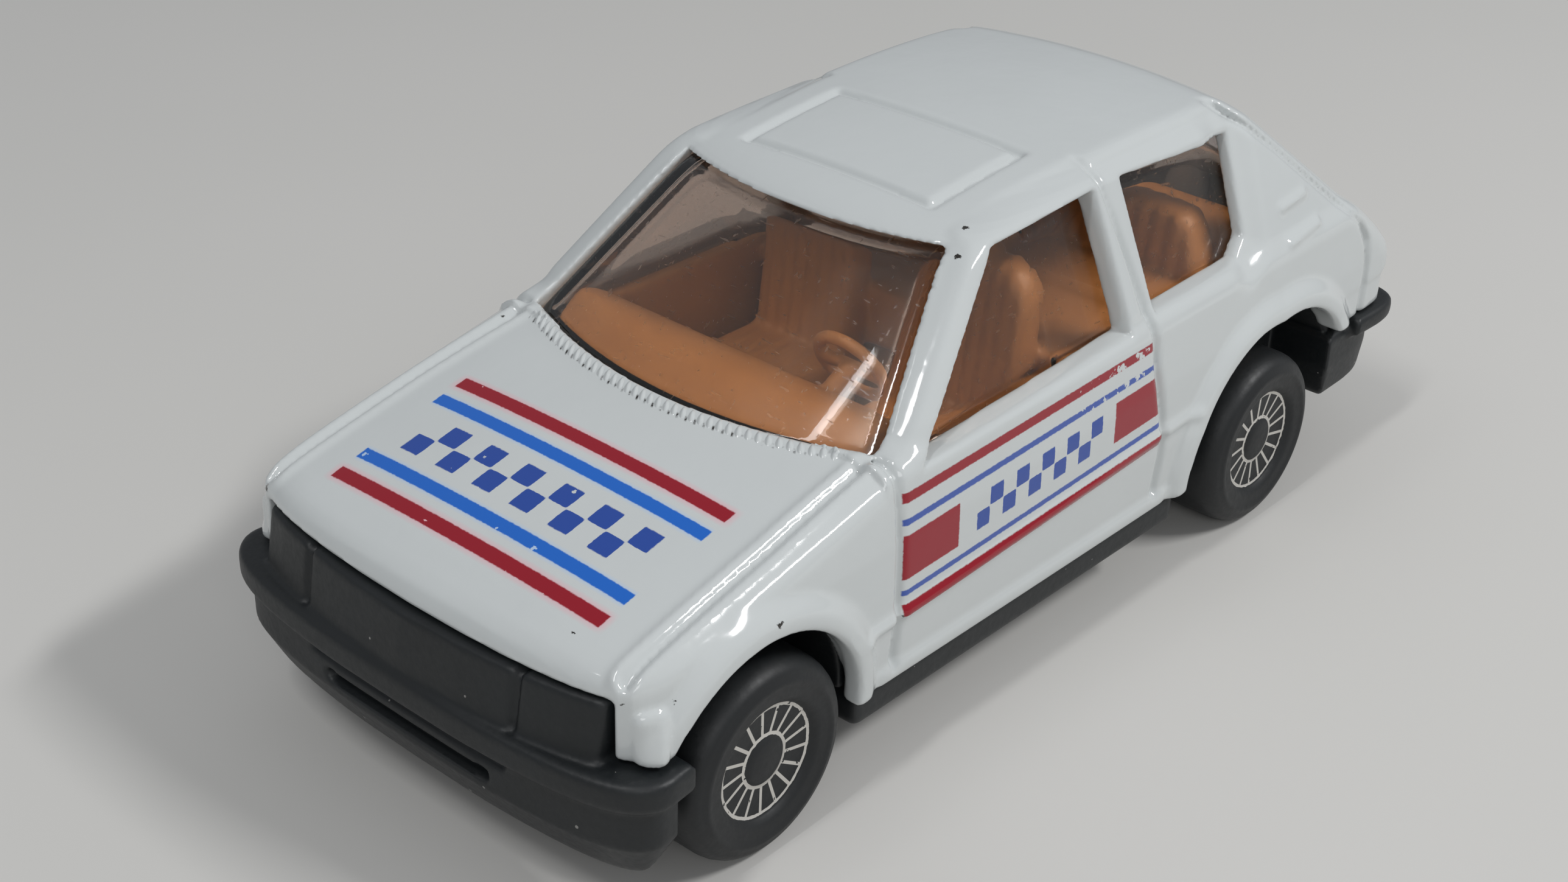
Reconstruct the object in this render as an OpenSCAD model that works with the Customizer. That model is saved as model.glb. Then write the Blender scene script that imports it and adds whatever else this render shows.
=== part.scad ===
// Toy police car: a small die-cast hatchback with a black moulded base,
// one clear window moulding, one tan interior tray and two rolling wheel sets.
// Millimetres. The front points along -Y, the car's left along +X, up along +Z.
// The floor is z = 0 and the middle of the car's length is y = 0.

/* [Overall] */
// Front bumper to rear bumper
body_length = 68.4; // [66:0.2:71]
// Width over the flared wheel arches
body_width = 28.8; // [28:0.2:30]
// Floor to the top of the roof
body_height = 25.6; // [24.8:0.2:26.8]
// Distance between the axle centres
wheelbase = 42; // [41:0.5:43.5]
// Wall of the die-cast shell
wall = 1.2; // [1:0.05:1.4]

/* [Wheels] */
// Outer diameter of the one-piece wheels
tyre_diameter = 10.4; // [9.8:0.1:10.8]
// Width of a wheel
wheel_width = 4.4; // [3.8:0.1:4.8]
// Outer faces of the left and right wheels, apart
over_wheels = 28; // [27.4:0.1:28.4]
// Diameter of the dished face
rim_diameter = 6.2; // [5.6:0.1:6.8]
// Depth of the dished face
rim_depth = 0.5; // [0.3:0.05:0.8]
// Diameter of the plain centre of the face
hub_diameter = 2.5; // [2.2:0.1:3]

/* [Axles] */
// Diameter of the steel axle
axle_diameter = 1.6; // [1.4:0.05:1.9]
// Radial running clearance of an axle in the base
axle_fit = 0.05; // [0.03:0.01:0.09]
// How deep an axle is pressed into a wheel
press_depth = 2.8; // [2.2:0.1:3]
// Side play between a wheel and the base
wheel_play = 0.4; // [0.3:0.05:0.6]

/* [Casting] */
// Lower edge of the casting between the wheels
sill_height = 5.2; // [4.9:0.1:5.6]
// Gap between tyre and front wheel arch
front_arch_gap = 1.3; // [1.1:0.1:1.6]
// Gap between tyre and rear wheel arch
rear_arch_gap = 2.05; // [1.8:0.05:2.3]
// Width of the flared lip round an arch
flare_width = 1.5; // [1:0.1:1.9]
// Width of the engraved shut lines
groove_width = 0.3; // [0.2:0.05:0.5]
// Depth of the engraved shut lines
groove_depth = 0.3; // [0.15:0.05:0.45]
// Diameter of the two rivet posts
post_diameter = 2.8; // [2.5:0.1:3]
// Diameter of the rivet shank in the base
shank_diameter = 1.8; // [1.6:0.1:2]
// Diameter of a peened rivet head
head_diameter = 2.8; // [2.5:0.1:3.1]

/* [Base] */
// Underside of the floor pan above the ground
floor_height = 3.5; // [3.2:0.1:3.8]
// Thickness of the floor pan
floor_thickness = 1.4; // [1.2:0.1:1.6]
// Skin of the hollow bumpers
skin = 1.2; // [1:0.1:1.4]
// Height of a bumper bar
bar_height = 2; // [1.7:0.1:2.3]
// Length of an axle bearing block along the car
bearing_length = 4; // [3.6:0.1:4.6]

/* [Glazing] */
// Thickness of the clear moulding
glass_thickness = 0.9; // [0.7:0.05:1.1]
// Gap between the clear moulding and the casting
glass_fit = 0.1; // [0.06:0.02:0.2]
// How far the windscreen pane lies below the casting
pane_recess = 0.35; // [0.2:0.05:0.6]
// Corner radius of the side windows
window_corner = 0.8; // [0.5:0.1:1.1]

/* [Interior] */
// Wall of the tray
tray_wall = 1; // [0.8:0.05:1.2]
// Width of a front seat
seat_width = 7; // [6.2:0.2:7.4]
// Diameter of the moulded steering wheel
steering_diameter = 4.4; // [3.8:0.1:4.8]

/* [Hidden] */
$fn = 96;
arc_steps = 4;
half_share = 0.5;
overrun = 1;

half_width = body_width * half_share;
half_length = body_length * half_share;
tyre_radius = tyre_diameter * half_share;
axle_radius = axle_diameter * half_share;
rim_radius = rim_diameter * half_share;
hub_radius = hub_diameter * half_share;
axle_z = tyre_radius;
wheel_face = over_wheels * half_share;
wheel_back = wheel_face - wheel_width;
pan_half = wheel_back - wheel_play;
floor_top = floor_height + floor_thickness;

// The overhangs share what the wheelbase leaves of the length
front_overhang_share = 0.4;
front_axle_y = -half_length + (body_length - wheelbase) * front_overhang_share;
rear_axle_y = front_axle_y + wheelbase;

// Arches: the front one sits a little ahead of its axle, the rear one is two circles long
front_arch_lead_share = 0.05;
rear_arch_lead_share = 0.08;
rear_arch_tail_share = 0.13;
arch_rise_share = 0.04;
front_arch_radius = tyre_radius + front_arch_gap;
rear_arch_radius = tyre_radius + rear_arch_gap;
front_arch_y = front_axle_y - tyre_diameter * front_arch_lead_share;
rear_arch_y1 = rear_axle_y - tyre_diameter * rear_arch_lead_share;
rear_arch_y2 = rear_axle_y + tyre_diameter * rear_arch_tail_share;
arch_z = axle_z + tyre_diameter * arch_rise_share;
arch_reach = wheel_back - wheel_play;

// Side view, plan view and sections: shares of the length, the half width and the height
lower_side_shares = [[0.965, 0.516], [0.952, 0.586], [0.912, 0.672], [0.273, 0.664], [0.142, 0.6],
    [0.04, 0.522], [0.019, 0.475]];
lower_section_shares = [[0.944, 0.203], [0.976, 0.352], [0.962, 0.508], [0.924, 0.633], [0.882, 0.672]];
plan_shares = [[0.417, 0.023], [0.826, 0.037], [0.93, 0.063], [0.979, 0.113], [0.986, 0.5],
    [0.965, 0.763], [0.924, 0.895], [0.882, 0.942], [0.8, 0.958], [0.4, 0.965]];
cabin_section_shares = [[0.896, 0.45], [0.896, 0.649], [0.691, 0.9375], [0.646, 0.965], [0.646, 1.1]];
screen_shares = [[0.257, 0.656], [0.39, 0.945]];
tail_shares = [[0.952, 0.592], [0.757, 0.988]];
front_skirt_share = 0.345;
rear_skirt_share = 0.382;
screen_bow_share = 2.92;
tail_bow_share = 2.8;
hood_bow_share = 6;
hood_crown_share = 0.04;
roof_cross_share = 6.6;
roof_long_share = 7.64;
roof_peak_share = 0.64;
cabin_floor_share = 0.6;

// Openings of the casting
door_window_shares = [[0.32, 0.668], [0.548, 0.695], [0.545, 0.928], [0.433, 0.918]];
quarter_window_shares = [[0.594, 0.715], [0.703, 0.711], [0.722, 0.742], [0.724, 0.926], [0.589, 0.9375]];
screen_opening_shares = [[-0.81, 0.61], [0.81, 0.61], [0.597, 0.92], [-0.597, 0.92]];
screen_edge_share = 0.2515;
screen_edge_bow_share = 1.78;
rear_opening_shares = [[-0.7, 0.716], [0.7, 0.716], [0.59, 0.92], [-0.59, 0.92]];
nose_opening_shares = [[-0.82, 0.3], [0.82, 0.3], [0.82, 0.466], [-0.82, 0.466]];
screen_zone_shares = [0.2, 0.5];
rear_zone_shares = [0.7, 1.02];
nose_zone_shares = [-0.02, 0.07];

// Engraved lines and raised detail
door_front_share = 0.285;
door_rear_shares = [[0.598, 0.245], [0.598, 0.4], [0.58, 0.664], [0.566, 0.973]];
door_foot_share = 0.242;
door_front_top_share = 0.668;
door_head_shares = [[0.418, 0.959], [0.566, 0.973]];
door_post_shares = [[0.285, 0.668], [0.418, 0.959]];
tail_line_setback = 0.7;
side_line_share = 0.64;
sunroof_shares = [[-0.424, 0.437], [0.424, 0.437], [0.424, 0.542], [-0.424, 0.542]];
sunroof_zone_share = 0.9;
strip_shares = [[0.24, 0.352], [0.65, 0.41]];
strip_height_share = 0.028;
strip_proud_share = 0.99;
rib_shares = [[[0.803, 0.73], [0.849, 0.73]], [[0.798, 0.648], [0.861, 0.648]]];
rib_height_share = 0.016;
rib_proud = 0.15;
lamp_y_share = 0.062;
lamp_z_share = 0.42;
lamp_size_share = 0.09;
post_shares = [0.216, 0.925];

// Base
front_bar_shares = [[0.42, 0], [0.8, 0.018], [0.955, 0.044], [0.993, 0.073]];
rear_bar_shares = [[0.96, 0.915], [0.945, 0.965], [0.85, 0.988], [0.5, 1]];
front_bar_top_share = 0.336;
front_foot_share = 0.094;
rear_bar_top_share = 0.378;
rear_foot_share = 0.205;
valance_set_share = 0.025;
foot_set_share = 0.07;
foot_rise_share = 0.07;
panel_half_share = 0.81;
panel_top_share = 0.46;
panel_back_share = 0.075;
lamp_line_share = 0.5;
slot_half_share = 0.33;
slot_low_share = 0.19;
slot_high_share = 0.228;
line_low_share = 0.262;
line_high_share = 0.27;
slot_depth = 0.6;
pan_front_share = 0.026;
pan_rear_share = 0.96;
sill_half_share = 0.93;
sill_rim_share = 0.085;
sill_front_share = 0.248;
sill_rear_share = 0.645;
bearing_height_share = 1.35;
bearing_width_share = 0.34;
shank_fit = 0.05;
head_clearance = 0.3;
head_height = 0.6;
head_sink = 0.1;

// Interior: the rim of the tray carries the clear moulding
rim_z_share = 0.633;
rim_z = body_height * rim_z_share;
tray_front_share = 0.29;
tray_rear_share = 0.64;
tray_half_share = 0.8;
tray_nose_half_share = 0.42;
tray_cheek_share = 0.33;
shelf_rear_share = 0.86;
shelf_half_share = 0.78;
dash_depth_share = 0.07;
dash_back_share = 0.352;
seat_offset_share = 0.375;
seat_front_share = 0.4;
seat_back_share = 0.505;
seat_cushion_share = 0.45;
seat_top_share = 0.8;
seat_thick_share = 0.035;
seat_lean_share = 0.03;
seat_flutes = 4;
flute_share = 0.09;
flute_proud = 0.2;
bench_front_share = 0.555;
bench_back_share = 0.64;
bench_thick_share = 0.035;
bench_half_share = 0.635;
bench_top_share = 0.75;
steering_y_share = 0.372;
steering_z_share = 0.66;
steering_rim_share = 0.1;
steering_tilt = 62;
column_share = 0.14;

// Wheel
tread_soft_share = 0.14;
back_soft_share = 0.06;
cap_share = 0.3;
bore_end_gap = 0.15;

// A side-view point, a section point and a plan point from their shares
function side_at(s) = [body_length * (s[0] - half_share), body_height * s[1]];
function section_at(s) = [half_width * s[0], body_height * s[1]];
function plan_at(s) = [half_width * s[0], body_length * (s[1] - half_share)];
function along(s) = body_length * (s - half_share);
function unit(v) = v / norm(v);

// Left and right halves of an outline that is given from front to rear on the left
function both_halves(p) = concat(p, [for (i = [len(p) - 1:-1:0]) [-p[i][0], p[i][1]]]);

// Every edge of a counter-clockwise outline moved inwards by d
function inset(p, d) = let (n = len(p)) [for (i = [0:n - 1])
    let (u = unit(p[i] - p[(i + n - 1) % n]), v = unit(p[(i + 1) % n] - p[i]),
        a = [-u[1], u[0]], b = [-v[1], v[0]])
    p[i] + d * (a + b) / (1 + a * b)];

// Corners of an outline rounded with radius r
function soft(p, r) = let (n = len(p)) [for (i = [0:n - 1])
    let (u = unit(p[(i + n - 1) % n] - p[i]), v = unit(p[(i + 1) % n] - p[i]),
        h = acos(u * v) * half_share,
        c = p[i] + unit(u + v) * r / sin(h),
        a = p[i] + u * r / tan(h) - c,
        b = p[i] + v * r / tan(h) - c,
        t = 180 - 2 * h)
    for (k = [0:arc_steps])
        c + (sin(t * (1 - k / arc_steps)) * a + sin(t * k / arc_steps) * b) / sin(t)];

// Outlines turned into prisms across the car, along the car and upwards
module across(p, from, to) {
    translate([from, 0, 0]) rotate([90, 0, 90]) linear_extrude(to - from) polygon(p);
}
module lengthwise(p, from, to) {
    translate([0, to, 0]) rotate([90, 0, 0]) linear_extrude(to - from) polygon(p);
}
module upwards(p, from, to) {
    translate([0, 0, from]) linear_extrude(to - from) polygon(p);
}
module both_sides() {
    children();
    mirror([1, 0, 0]) children();
}

// A wide drum that lies along a slope from one side-view point to another, bowed across the car
module slope_drum(low, high, radius, d) {
    step = high - low;
    translate([0, low[0], low[1]])
        rotate([-atan2(step[0], step[1]), 0, 0])
        translate([0, radius, 0])
        cylinder(r = radius - d, h = body_length * 2, center = true);
}

// Lower half of the casting with its walls moved in by d and its underside at z = bottom
module lower_solid(d, bottom) {
    nose = side_at(lower_side_shares[6])[0];
    tail = side_at(lower_side_shares[0])[0];
    side = concat([[nose, bottom - d], [tail, bottom - d]], [for (s = lower_side_shares) side_at(s)]);
    section_left = concat([[section_at(lower_section_shares[0])[0], bottom - d]],
        [for (i = [1:len(lower_section_shares) - 1]) section_at(lower_section_shares[i])]);
    plan = both_halves([for (s = plan_shares) plan_at(s)]);
    hood_low = side_at(lower_side_shares[5]);
    hood_high = side_at(lower_side_shares[3]);
    difference() {
        intersection() {
            across(inset(side, d), -half_width, half_width);
            lengthwise(inset(both_halves(section_left), d), -half_length, half_length);
            upwards(inset(plan, d), -overrun, body_height);
            tail_drum(d);
        }
        hood_cut(hood_low, hood_high, d);
    }
}

// What is above the bowed hood
module hood_cut(low, high, d) {
    radius = half_width * hood_bow_share;
    step = high - low;
    difference() {
        translate([-half_width, low[0] - body_height, 0])
            cube([body_width, step[0] + body_height, body_height]);
        translate([0, low[0], low[1]])
            rotate([atan2(step[1], step[0]), 0, 0])
            translate([0, 0, half_width * hood_crown_share - radius])
            rotate([90, 0, 0])
            cylinder(r = radius - d, h = body_length * 2, center = true);
    }
}

// Cabin of the casting with its walls moved in by d
module cabin_solid(d) {
    section = both_halves([for (s = cabin_section_shares) section_at(s)]);
    plan = both_halves([for (s = plan_shares) plan_at(s)]);
    low = side_at(screen_shares[0]);
    high = side_at(screen_shares[1]);
    roof_cross = half_width * roof_cross_share;
    roof_long = half_width * roof_long_share;
    intersection() {
        lengthwise(inset(section, d), -half_length, half_length);
        slope_drum(low, high, half_width * screen_bow_share, d);
        tail_drum(d);
        translate([0, along(roof_peak_share), body_height - roof_long])
            rotate([0, 90, 0])
            rotate_extrude()
            intersection() {
                translate([roof_long - roof_cross, 0]) circle(r = roof_cross - d);
                translate([0, -half_width]) square([roof_long, body_width]);
            }
        upwards(plan, body_height * cabin_floor_share, body_height);
    }
}

// The bowed tailgate, which bounds the cabin and the lower half alike
function flip(p) = [-p[0], p[1]];
module tail_drum(d) {
    low = flip(side_at(tail_shares[0]));
    high = flip(side_at(tail_shares[1]));
    mirror([0, 1, 0]) slope_drum(low, high, half_width * tail_bow_share, d);
}

// Arch cut-outs on one side, and the flared lips round them
module arch_drum(y, radius, from, to) {
    translate([from, y, arch_z]) rotate([0, 90, 0]) cylinder(r = radius, h = to - from);
}
module arch_holes() {
    arch_drum(front_arch_y, front_arch_radius, arch_reach, half_width + overrun);
    arch_drum(rear_arch_y1, rear_arch_radius, arch_reach, half_width + overrun);
    arch_drum(rear_arch_y2, rear_arch_radius, arch_reach, half_width + overrun);
}
module flare(y, radius) {
    translate([half_width - wall, y, arch_z]) rotate([0, 90, 0])
        cylinder(r1 = radius + flare_width, r2 = radius + flare_width * half_share, h = wall);
}
module flares() {
    proud = half_width - plan_at(plan_shares[4])[0];
    intersection() {
        union() {
            flare(front_arch_y, front_arch_radius);
            flare(rear_arch_y1, rear_arch_radius);
            flare(rear_arch_y2, rear_arch_radius);
        }
        upwards(both_halves([for (s = plan_shares) plan_at(s) + [proud, 0]]), sill_height, body_height);
    }
}

// A rivet post: the casting's pin, its shank through the base and the peened head
module post(y) {
    intersection() {
        translate([0, y, floor_top]) cylinder(d = post_diameter, h = body_height);
        lower_solid(wall * half_share, 0);
    }
    translate([0, y, floor_height + head_sink]) {
        cylinder(d = shank_diameter, h = floor_thickness + overrun);
        cylinder(d = head_diameter, h = head_height);
    }
}

// A thin bar between two side-view points, for shut lines and ribs
module side_bar(a, b, width, from, to) {
    step = b - a;
    translate([from, a[0], a[1]])
        rotate([atan2(step[1], step[0]), 0, 0])
        translate([0, -width * half_share, -width * half_share])
        cube([to - from, norm(step) + width, width]);
}

module door_lines() {
    inner = half_width * side_line_share;
    outer = half_width + overrun;
    front_low = side_at([door_front_share, door_foot_share]);
    front_high = side_at([door_front_share, door_front_top_share]);
    side_bar(front_low, front_high, groove_width, inner, outer);
    side_bar(side_at(door_post_shares[0]), side_at(door_post_shares[1]), groove_width, inner, outer);
    side_bar(side_at(door_head_shares[0]), side_at(door_head_shares[1]), groove_width, inner, outer);
    rear = [for (s = door_rear_shares) side_at(s)];
    for (i = [0:len(rear) - 2])
        side_bar(rear[i], rear[i + 1], groove_width, inner, outer);
    side_bar(side_at(tail_shares[1]) - [tail_line_setback + wall, 0],
        side_at(tail_shares[0]) - [tail_line_setback + wall, 0], groove_width, inner, outer);
}

module sunroof_line() {
    outline = [for (s = sunroof_shares) plan_at(s)];
    difference() {
        upwards(outline, body_height * sunroof_zone_share, body_height + overrun);
        upwards(inset(outline, groove_width), 0, body_height + overrun * 2);
    }
}

// Hollow casting before its openings are cut
module shell() {
    difference() {
        union() {
            lower_solid(0, sill_height);
            cabin_solid(0);
            both_sides() flares();
        }
        lower_solid(wall, sill_height - wall - overrun);
        cabin_solid(wall);
    }
}

module body_shell() color([0.9, 0.92, 0.93]) {
    difference() {
        shell();
        both_sides() arch_holes();
        for (window = [door_window_shares, quarter_window_shares])
            across(soft([for (s = window) side_at(s)], window_corner), -half_width, half_width);
        screen_opening(0);
        lengthwise(soft([for (s = rear_opening_shares) section_at(s)], window_corner),
            along(rear_zone_shares[0]), along(rear_zone_shares[1]));
        lengthwise([for (s = nose_opening_shares) section_at(s)],
            along(nose_zone_shares[0]), along(nose_zone_shares[1]));
        skirt_cuts();
        difference() {
            union() {
                both_sides() door_lines();
                sunroof_line();
            }
            lower_solid(groove_depth, 0);
            cabin_solid(groove_depth);
        }
    }
    for (s = post_shares) post(along(s));
    both_sides() raised_detail();
}

// Windscreen opening moved in by d: its front edge follows the bow of the hood's rear edge
module screen_opening(d) {
    edge_radius = half_width * screen_edge_bow_share;
    outline = [for (s = screen_opening_shares) section_at(s)];
    intersection() {
        lengthwise(soft(inset(outline, d), window_corner),
            along(screen_zone_shares[0]), along(screen_zone_shares[1]));
        translate([0, along(screen_edge_share) + edge_radius, 0])
            cylinder(r = edge_radius - d, h = body_height);
    }
}

// The base takes the place of the casting below these heights, ahead of and behind the wheels
module skirt_cuts() {
    translate([-body_width, front_arch_y - body_length, 0])
        cube([body_width * 2, body_length, body_height * front_skirt_share]);
    translate([-body_width, rear_arch_y2, 0])
        cube([body_width * 2, body_length, body_height * rear_skirt_share]);
}

// Bump strip on the sill, ribs on the rear pillar and the lamp on the front wing
module raised_detail() {
    strip_height = body_height * strip_height_share;
    strip_front = front_arch_y + front_arch_radius;
    strip_rear = rear_arch_y1 - rear_arch_radius;
    intersection() {
        side_bar(side_at(strip_shares[0]), side_at(strip_shares[1]), strip_height,
            half_width - wall, half_width * strip_proud_share);
        translate([0, strip_front, 0]) cube([half_width, strip_rear - strip_front, body_height]);
    }
    intersection() {
        union()
            for (r = rib_shares)
                side_bar(side_at(r[0]), side_at(r[1]), body_height * rib_height_share, 0, half_width);
        difference() {
            union() {
                lower_solid(-rib_proud, 0);
                cabin_solid(-rib_proud);
            }
            lower_solid(wall * half_share, 0);
            cabin_solid(wall * half_share);
        }
    }
    lamp = half_width * lamp_size_share;
    lamp_spot = plan_at([plan_shares[2][0], lamp_y_share]);
    difference() {
        translate([lamp_spot[0] - lamp, lamp_spot[1], body_height * lamp_z_share]) sphere(r = lamp);
        lower_solid(wall, 0);
    }
}

// Outline of a bumper in plan, its outer edge moved in by d; the open side towards the wheels stays
function bumper_plan(p, d) =
    let (q = [for (s = p) plan_at(s)], n = len(q) - 1, front = p[0][1] < half_share)
    inset(both_halves([for (i = [0:n]) q[i] + [0, front && i == n ? d : !front && i == 0 ? -d : 0]]), d);

// A hollow bumper: a bar on top, a set-back valance under it and a tucked-in foot
module bumper(p, top, foot) {
    valance = half_width * valance_set_share;
    tuck = half_width * foot_set_share;
    rise = body_height * foot_rise_share;
    difference() {
        union() {
            upwards(bumper_plan(p, 0), top - bar_height, top);
            upwards(bumper_plan(p, valance), foot + rise, top - bar_height);
            upwards(bumper_plan(p, tuck), foot, foot + rise);
        }
        upwards(bumper_plan(p, tuck + skin), foot - overrun, top - skin);
    }
}

// Lamp and grille panel that fills the nose of the casting
module nose_panel() {
    plan = both_halves([for (s = plan_shares) plan_at(s)]);
    low = body_height * front_bar_top_share - skin * half_share;
    high = body_height * panel_top_share;
    panel_half = half_width * panel_half_share;
    line = half_width * lamp_line_share;
    difference() {
        intersection() {
            upwards(inset(plan, wall + glass_fit), low, high);
            translate([-panel_half, -body_length, 0])
                cube([panel_half * 2, body_length + along(panel_back_share), body_height]);
        }
        upwards(inset(plan, wall + glass_fit + skin), low - overrun, high + overrun);
        both_sides()
            difference() {
                translate([line, -body_length, body_height * front_bar_top_share])
                    cube([groove_width, body_length, body_height]);
                upwards(inset(plan, wall + glass_fit + groove_depth), 0, body_height * 2);
            }
    }
}

// Long slot and thin line in the middle of the front bumper
module bumper_slots() {
    half = half_width * slot_half_share;
    face = -half_length;
    valance = half_width * valance_set_share;
    slot_height = body_height * (slot_high_share - slot_low_share);
    line_height = body_height * (line_high_share - line_low_share);
    translate([-half, face - overrun, body_height * slot_low_share])
        cube([half * 2, overrun + valance + slot_depth, slot_height]);
    translate([-half, face - overrun, body_height * line_low_share])
        cube([half * 2, overrun + slot_depth, line_height]);
}

module bearing(y) {
    width = pan_half * bearing_width_share;
    translate([pan_half - width, y - bearing_length * half_share, floor_height])
        cube([width, bearing_length, (axle_z - floor_height) * bearing_height_share + axle_radius]);
}

module base_plate() color([0.16, 0.18, 0.19]) {
    sill_half = half_width * sill_half_share;
    sill_rim = half_width * sill_rim_share;
    sill_y = along(sill_front_share);
    sill_run = along(sill_rear_share) - sill_y;
    pan_front = along(pan_front_share);
    pan_rear = along(pan_rear_share);
    bulkhead_y = along(rear_bar_shares[0][1]);
    rear_top = body_height * rear_bar_top_share;
    difference() {
        union() {
            bumper_front();
            bumper_rear();
            nose_panel();
            translate([-pan_half, pan_front, floor_height])
                cube([pan_half * 2, pan_rear - pan_front, floor_thickness]);
            translate([-sill_half, sill_y, floor_height])
                cube([sill_half * 2, sill_run, floor_thickness]);
            translate([-pan_half, bulkhead_y, floor_height])
                cube([pan_half * 2, skin, rear_top - floor_height]);
            both_sides() {
                translate([sill_half - sill_rim, sill_y, floor_height])
                    cube([sill_rim, sill_run, sill_height - floor_height]);
                bearing(front_axle_y);
                bearing(rear_axle_y);
            }
        }
        for (y = [front_axle_y, rear_axle_y])
            translate([-half_width, y, axle_z]) rotate([0, 90, 0])
                cylinder(r = axle_radius + axle_fit, h = body_width);
        both_sides()
            for (y = [front_axle_y, rear_axle_y])
                arch_drum(y, tyre_radius + wheel_play, pan_half, half_width + overrun);
        for (s = post_shares) {
            translate([0, along(s), floor_height - overrun])
                cylinder(d = shank_diameter + shank_fit * 2, h = floor_thickness + overrun * 2);
            translate([0, along(s), floor_height - overrun])
                cylinder(d = head_diameter + head_clearance * 2, h = overrun + head_sink + head_height);
            translate([0, along(s), floor_top])
                cylinder(d = post_diameter + head_clearance * 2, h = body_height);
        }
    }
}
module bumper_front() {
    difference() {
        bumper(front_bar_shares, body_height * front_bar_top_share, body_height * front_foot_share);
        bumper_slots();
    }
}
module bumper_rear() {
    bumper(rear_bar_shares, body_height * rear_bar_top_share, body_height * rear_foot_share);
}

// Clear tub behind all the windows; its windscreen pane stands out into the opening
module window_unit() color([0.75, 0.7, 0.66, 0.5]) {
    outer = wall + glass_fit;
    intersection() {
        difference() {
            union() {
                cabin_solid(outer);
                intersection() {
                    cabin_solid(pane_recess);
                    screen_opening(glass_fit);
                }
            }
            cabin_solid(outer + glass_thickness);
        }
        translate([-half_width, -half_length, rim_z]) cube([body_width, body_length, body_height]);
    }
}

// Outline of the tray, moved in by d
function tray_plan(d) = inset(both_halves([
    [half_width * tray_nose_half_share, along(tray_front_share)],
    [half_width * tray_half_share, along(tray_cheek_share)],
    [half_width * tray_half_share, along(tray_rear_share)]]), d);

module front_seat() {
    seat_half = seat_width * half_share;
    thick = body_length * seat_thick_share;
    lean = body_length * seat_lean_share;
    front = along(seat_front_share);
    back = along(seat_back_share);
    cushion = body_height * seat_cushion_share;
    top = body_height * seat_top_share;
    flute = seat_width * flute_share;
    pitch = seat_width / (seat_flutes + half_share);
    middle = (seat_flutes - 1) * half_share;
    crest = back + lean;
    translate([-seat_half, front, floor_top]) cube([seat_width, back - front, cushion - floor_top]);
    across([[back - thick, floor_top], [back, floor_top], [crest, top], [crest - thick, top]],
        -seat_half, seat_half);
    for (i = [0:seat_flutes - 1])
        across([[back - thick - flute_proud, cushion], [back, cushion], [crest, top],
            [crest - thick - flute_proud, top]], pitch * (i - middle) - flute, pitch * (i - middle) + flute);
}

module steering_wheel() {
    ring = steering_diameter * half_share;
    tube = ring * steering_rim_share;
    translate([0, along(steering_y_share), body_height * steering_z_share])
        rotate([-steering_tilt, 0, 0]) {
            rotate_extrude() translate([ring - tube, 0]) circle(r = tube);
            translate([0, 0, -body_length * dash_depth_share])
                cylinder(r = ring * column_share, h = body_length * dash_depth_share);
            translate([-ring + tube, -tube, -tube]) cube([(ring - tube) * 2, tube * 2, tube * 2]);
        }
}

module interior_tray() color([0.69, 0.48, 0.24]) {
    dash_depth = body_length * dash_depth_share;
    dash_front = along(tray_front_share) + tray_wall * half_share;
    dash_back = along(dash_back_share);
    dash_half = half_width * tray_nose_half_share;
    bench_half = half_width * bench_half_share;
    bench_front = along(bench_front_share);
    bench_back = along(bench_back_share);
    bench_top = body_height * bench_top_share;
    bench_thick = body_length * bench_thick_share;
    cushion = body_height * seat_cushion_share;
    shelf_half = half_width * shelf_half_share;
    difference() {
        upwards(tray_plan(0), floor_top, rim_z);
        upwards(tray_plan(tray_wall), floor_top + tray_wall, rim_z + overrun);
    }
    translate([-shelf_half, bench_back - tray_wall, rim_z - tray_wall])
        cube([shelf_half * 2, along(shelf_rear_share) - bench_back + tray_wall, tray_wall]);
    both_sides() translate([half_width * seat_offset_share, 0, 0]) front_seat();
    translate([-bench_half, bench_front, floor_top])
        cube([bench_half * 2, bench_back - bench_front - tray_wall * half_share, cushion - floor_top]);
    translate([-bench_half, bench_back - bench_thick, floor_top])
        cube([bench_half * 2, bench_thick, bench_top - floor_top]);
    across(soft([[dash_front, rim_z - dash_depth], [dash_back, rim_z - dash_depth], [dash_back, rim_z],
        [dash_front, rim_z]], window_corner), -dash_half, dash_half);
    translate([half_width * seat_offset_share, 0, 0]) steering_wheel();
}

// An axle reaches into the blind bores of both its wheels
module axle(y) {
    reach = wheel_back + press_depth;
    translate([-reach, y, axle_z]) rotate([0, 90, 0]) cylinder(r = axle_radius, h = reach * 2);
}
module front_axle() color([0.7, 0.7, 0.7]) axle(front_axle_y);
module rear_axle() color([0.7, 0.7, 0.7]) axle(rear_axle_y);

// One-piece wheel: tyre, dished face and plain centre, with a blind bore at the back
module wheel() {
    tread_soft = tyre_radius * tread_soft_share;
    back_soft = tyre_radius * back_soft_share;
    dish = wheel_width - rim_depth;
    cap = dish + rim_depth * cap_share;
    difference() {
        rotate_extrude()
            polygon(concat(
                [[0, 0]],
                [for (k = [0:arc_steps]) [tyre_radius - back_soft, back_soft]
                    + back_soft * [sin(90 * k / arc_steps), -cos(90 * k / arc_steps)]],
                [for (k = [0:arc_steps]) [tyre_radius - tread_soft, wheel_width - tread_soft]
                    + tread_soft * [cos(90 * k / arc_steps), sin(90 * k / arc_steps)]],
                [[rim_radius, wheel_width], [rim_radius - rim_depth * half_share, dish],
                    [hub_radius, dish], [hub_radius, cap], [0, cap]]));
        translate([0, 0, -overrun]) cylinder(r = axle_radius, h = overrun + press_depth + bore_end_gap);
    }
}
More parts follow.
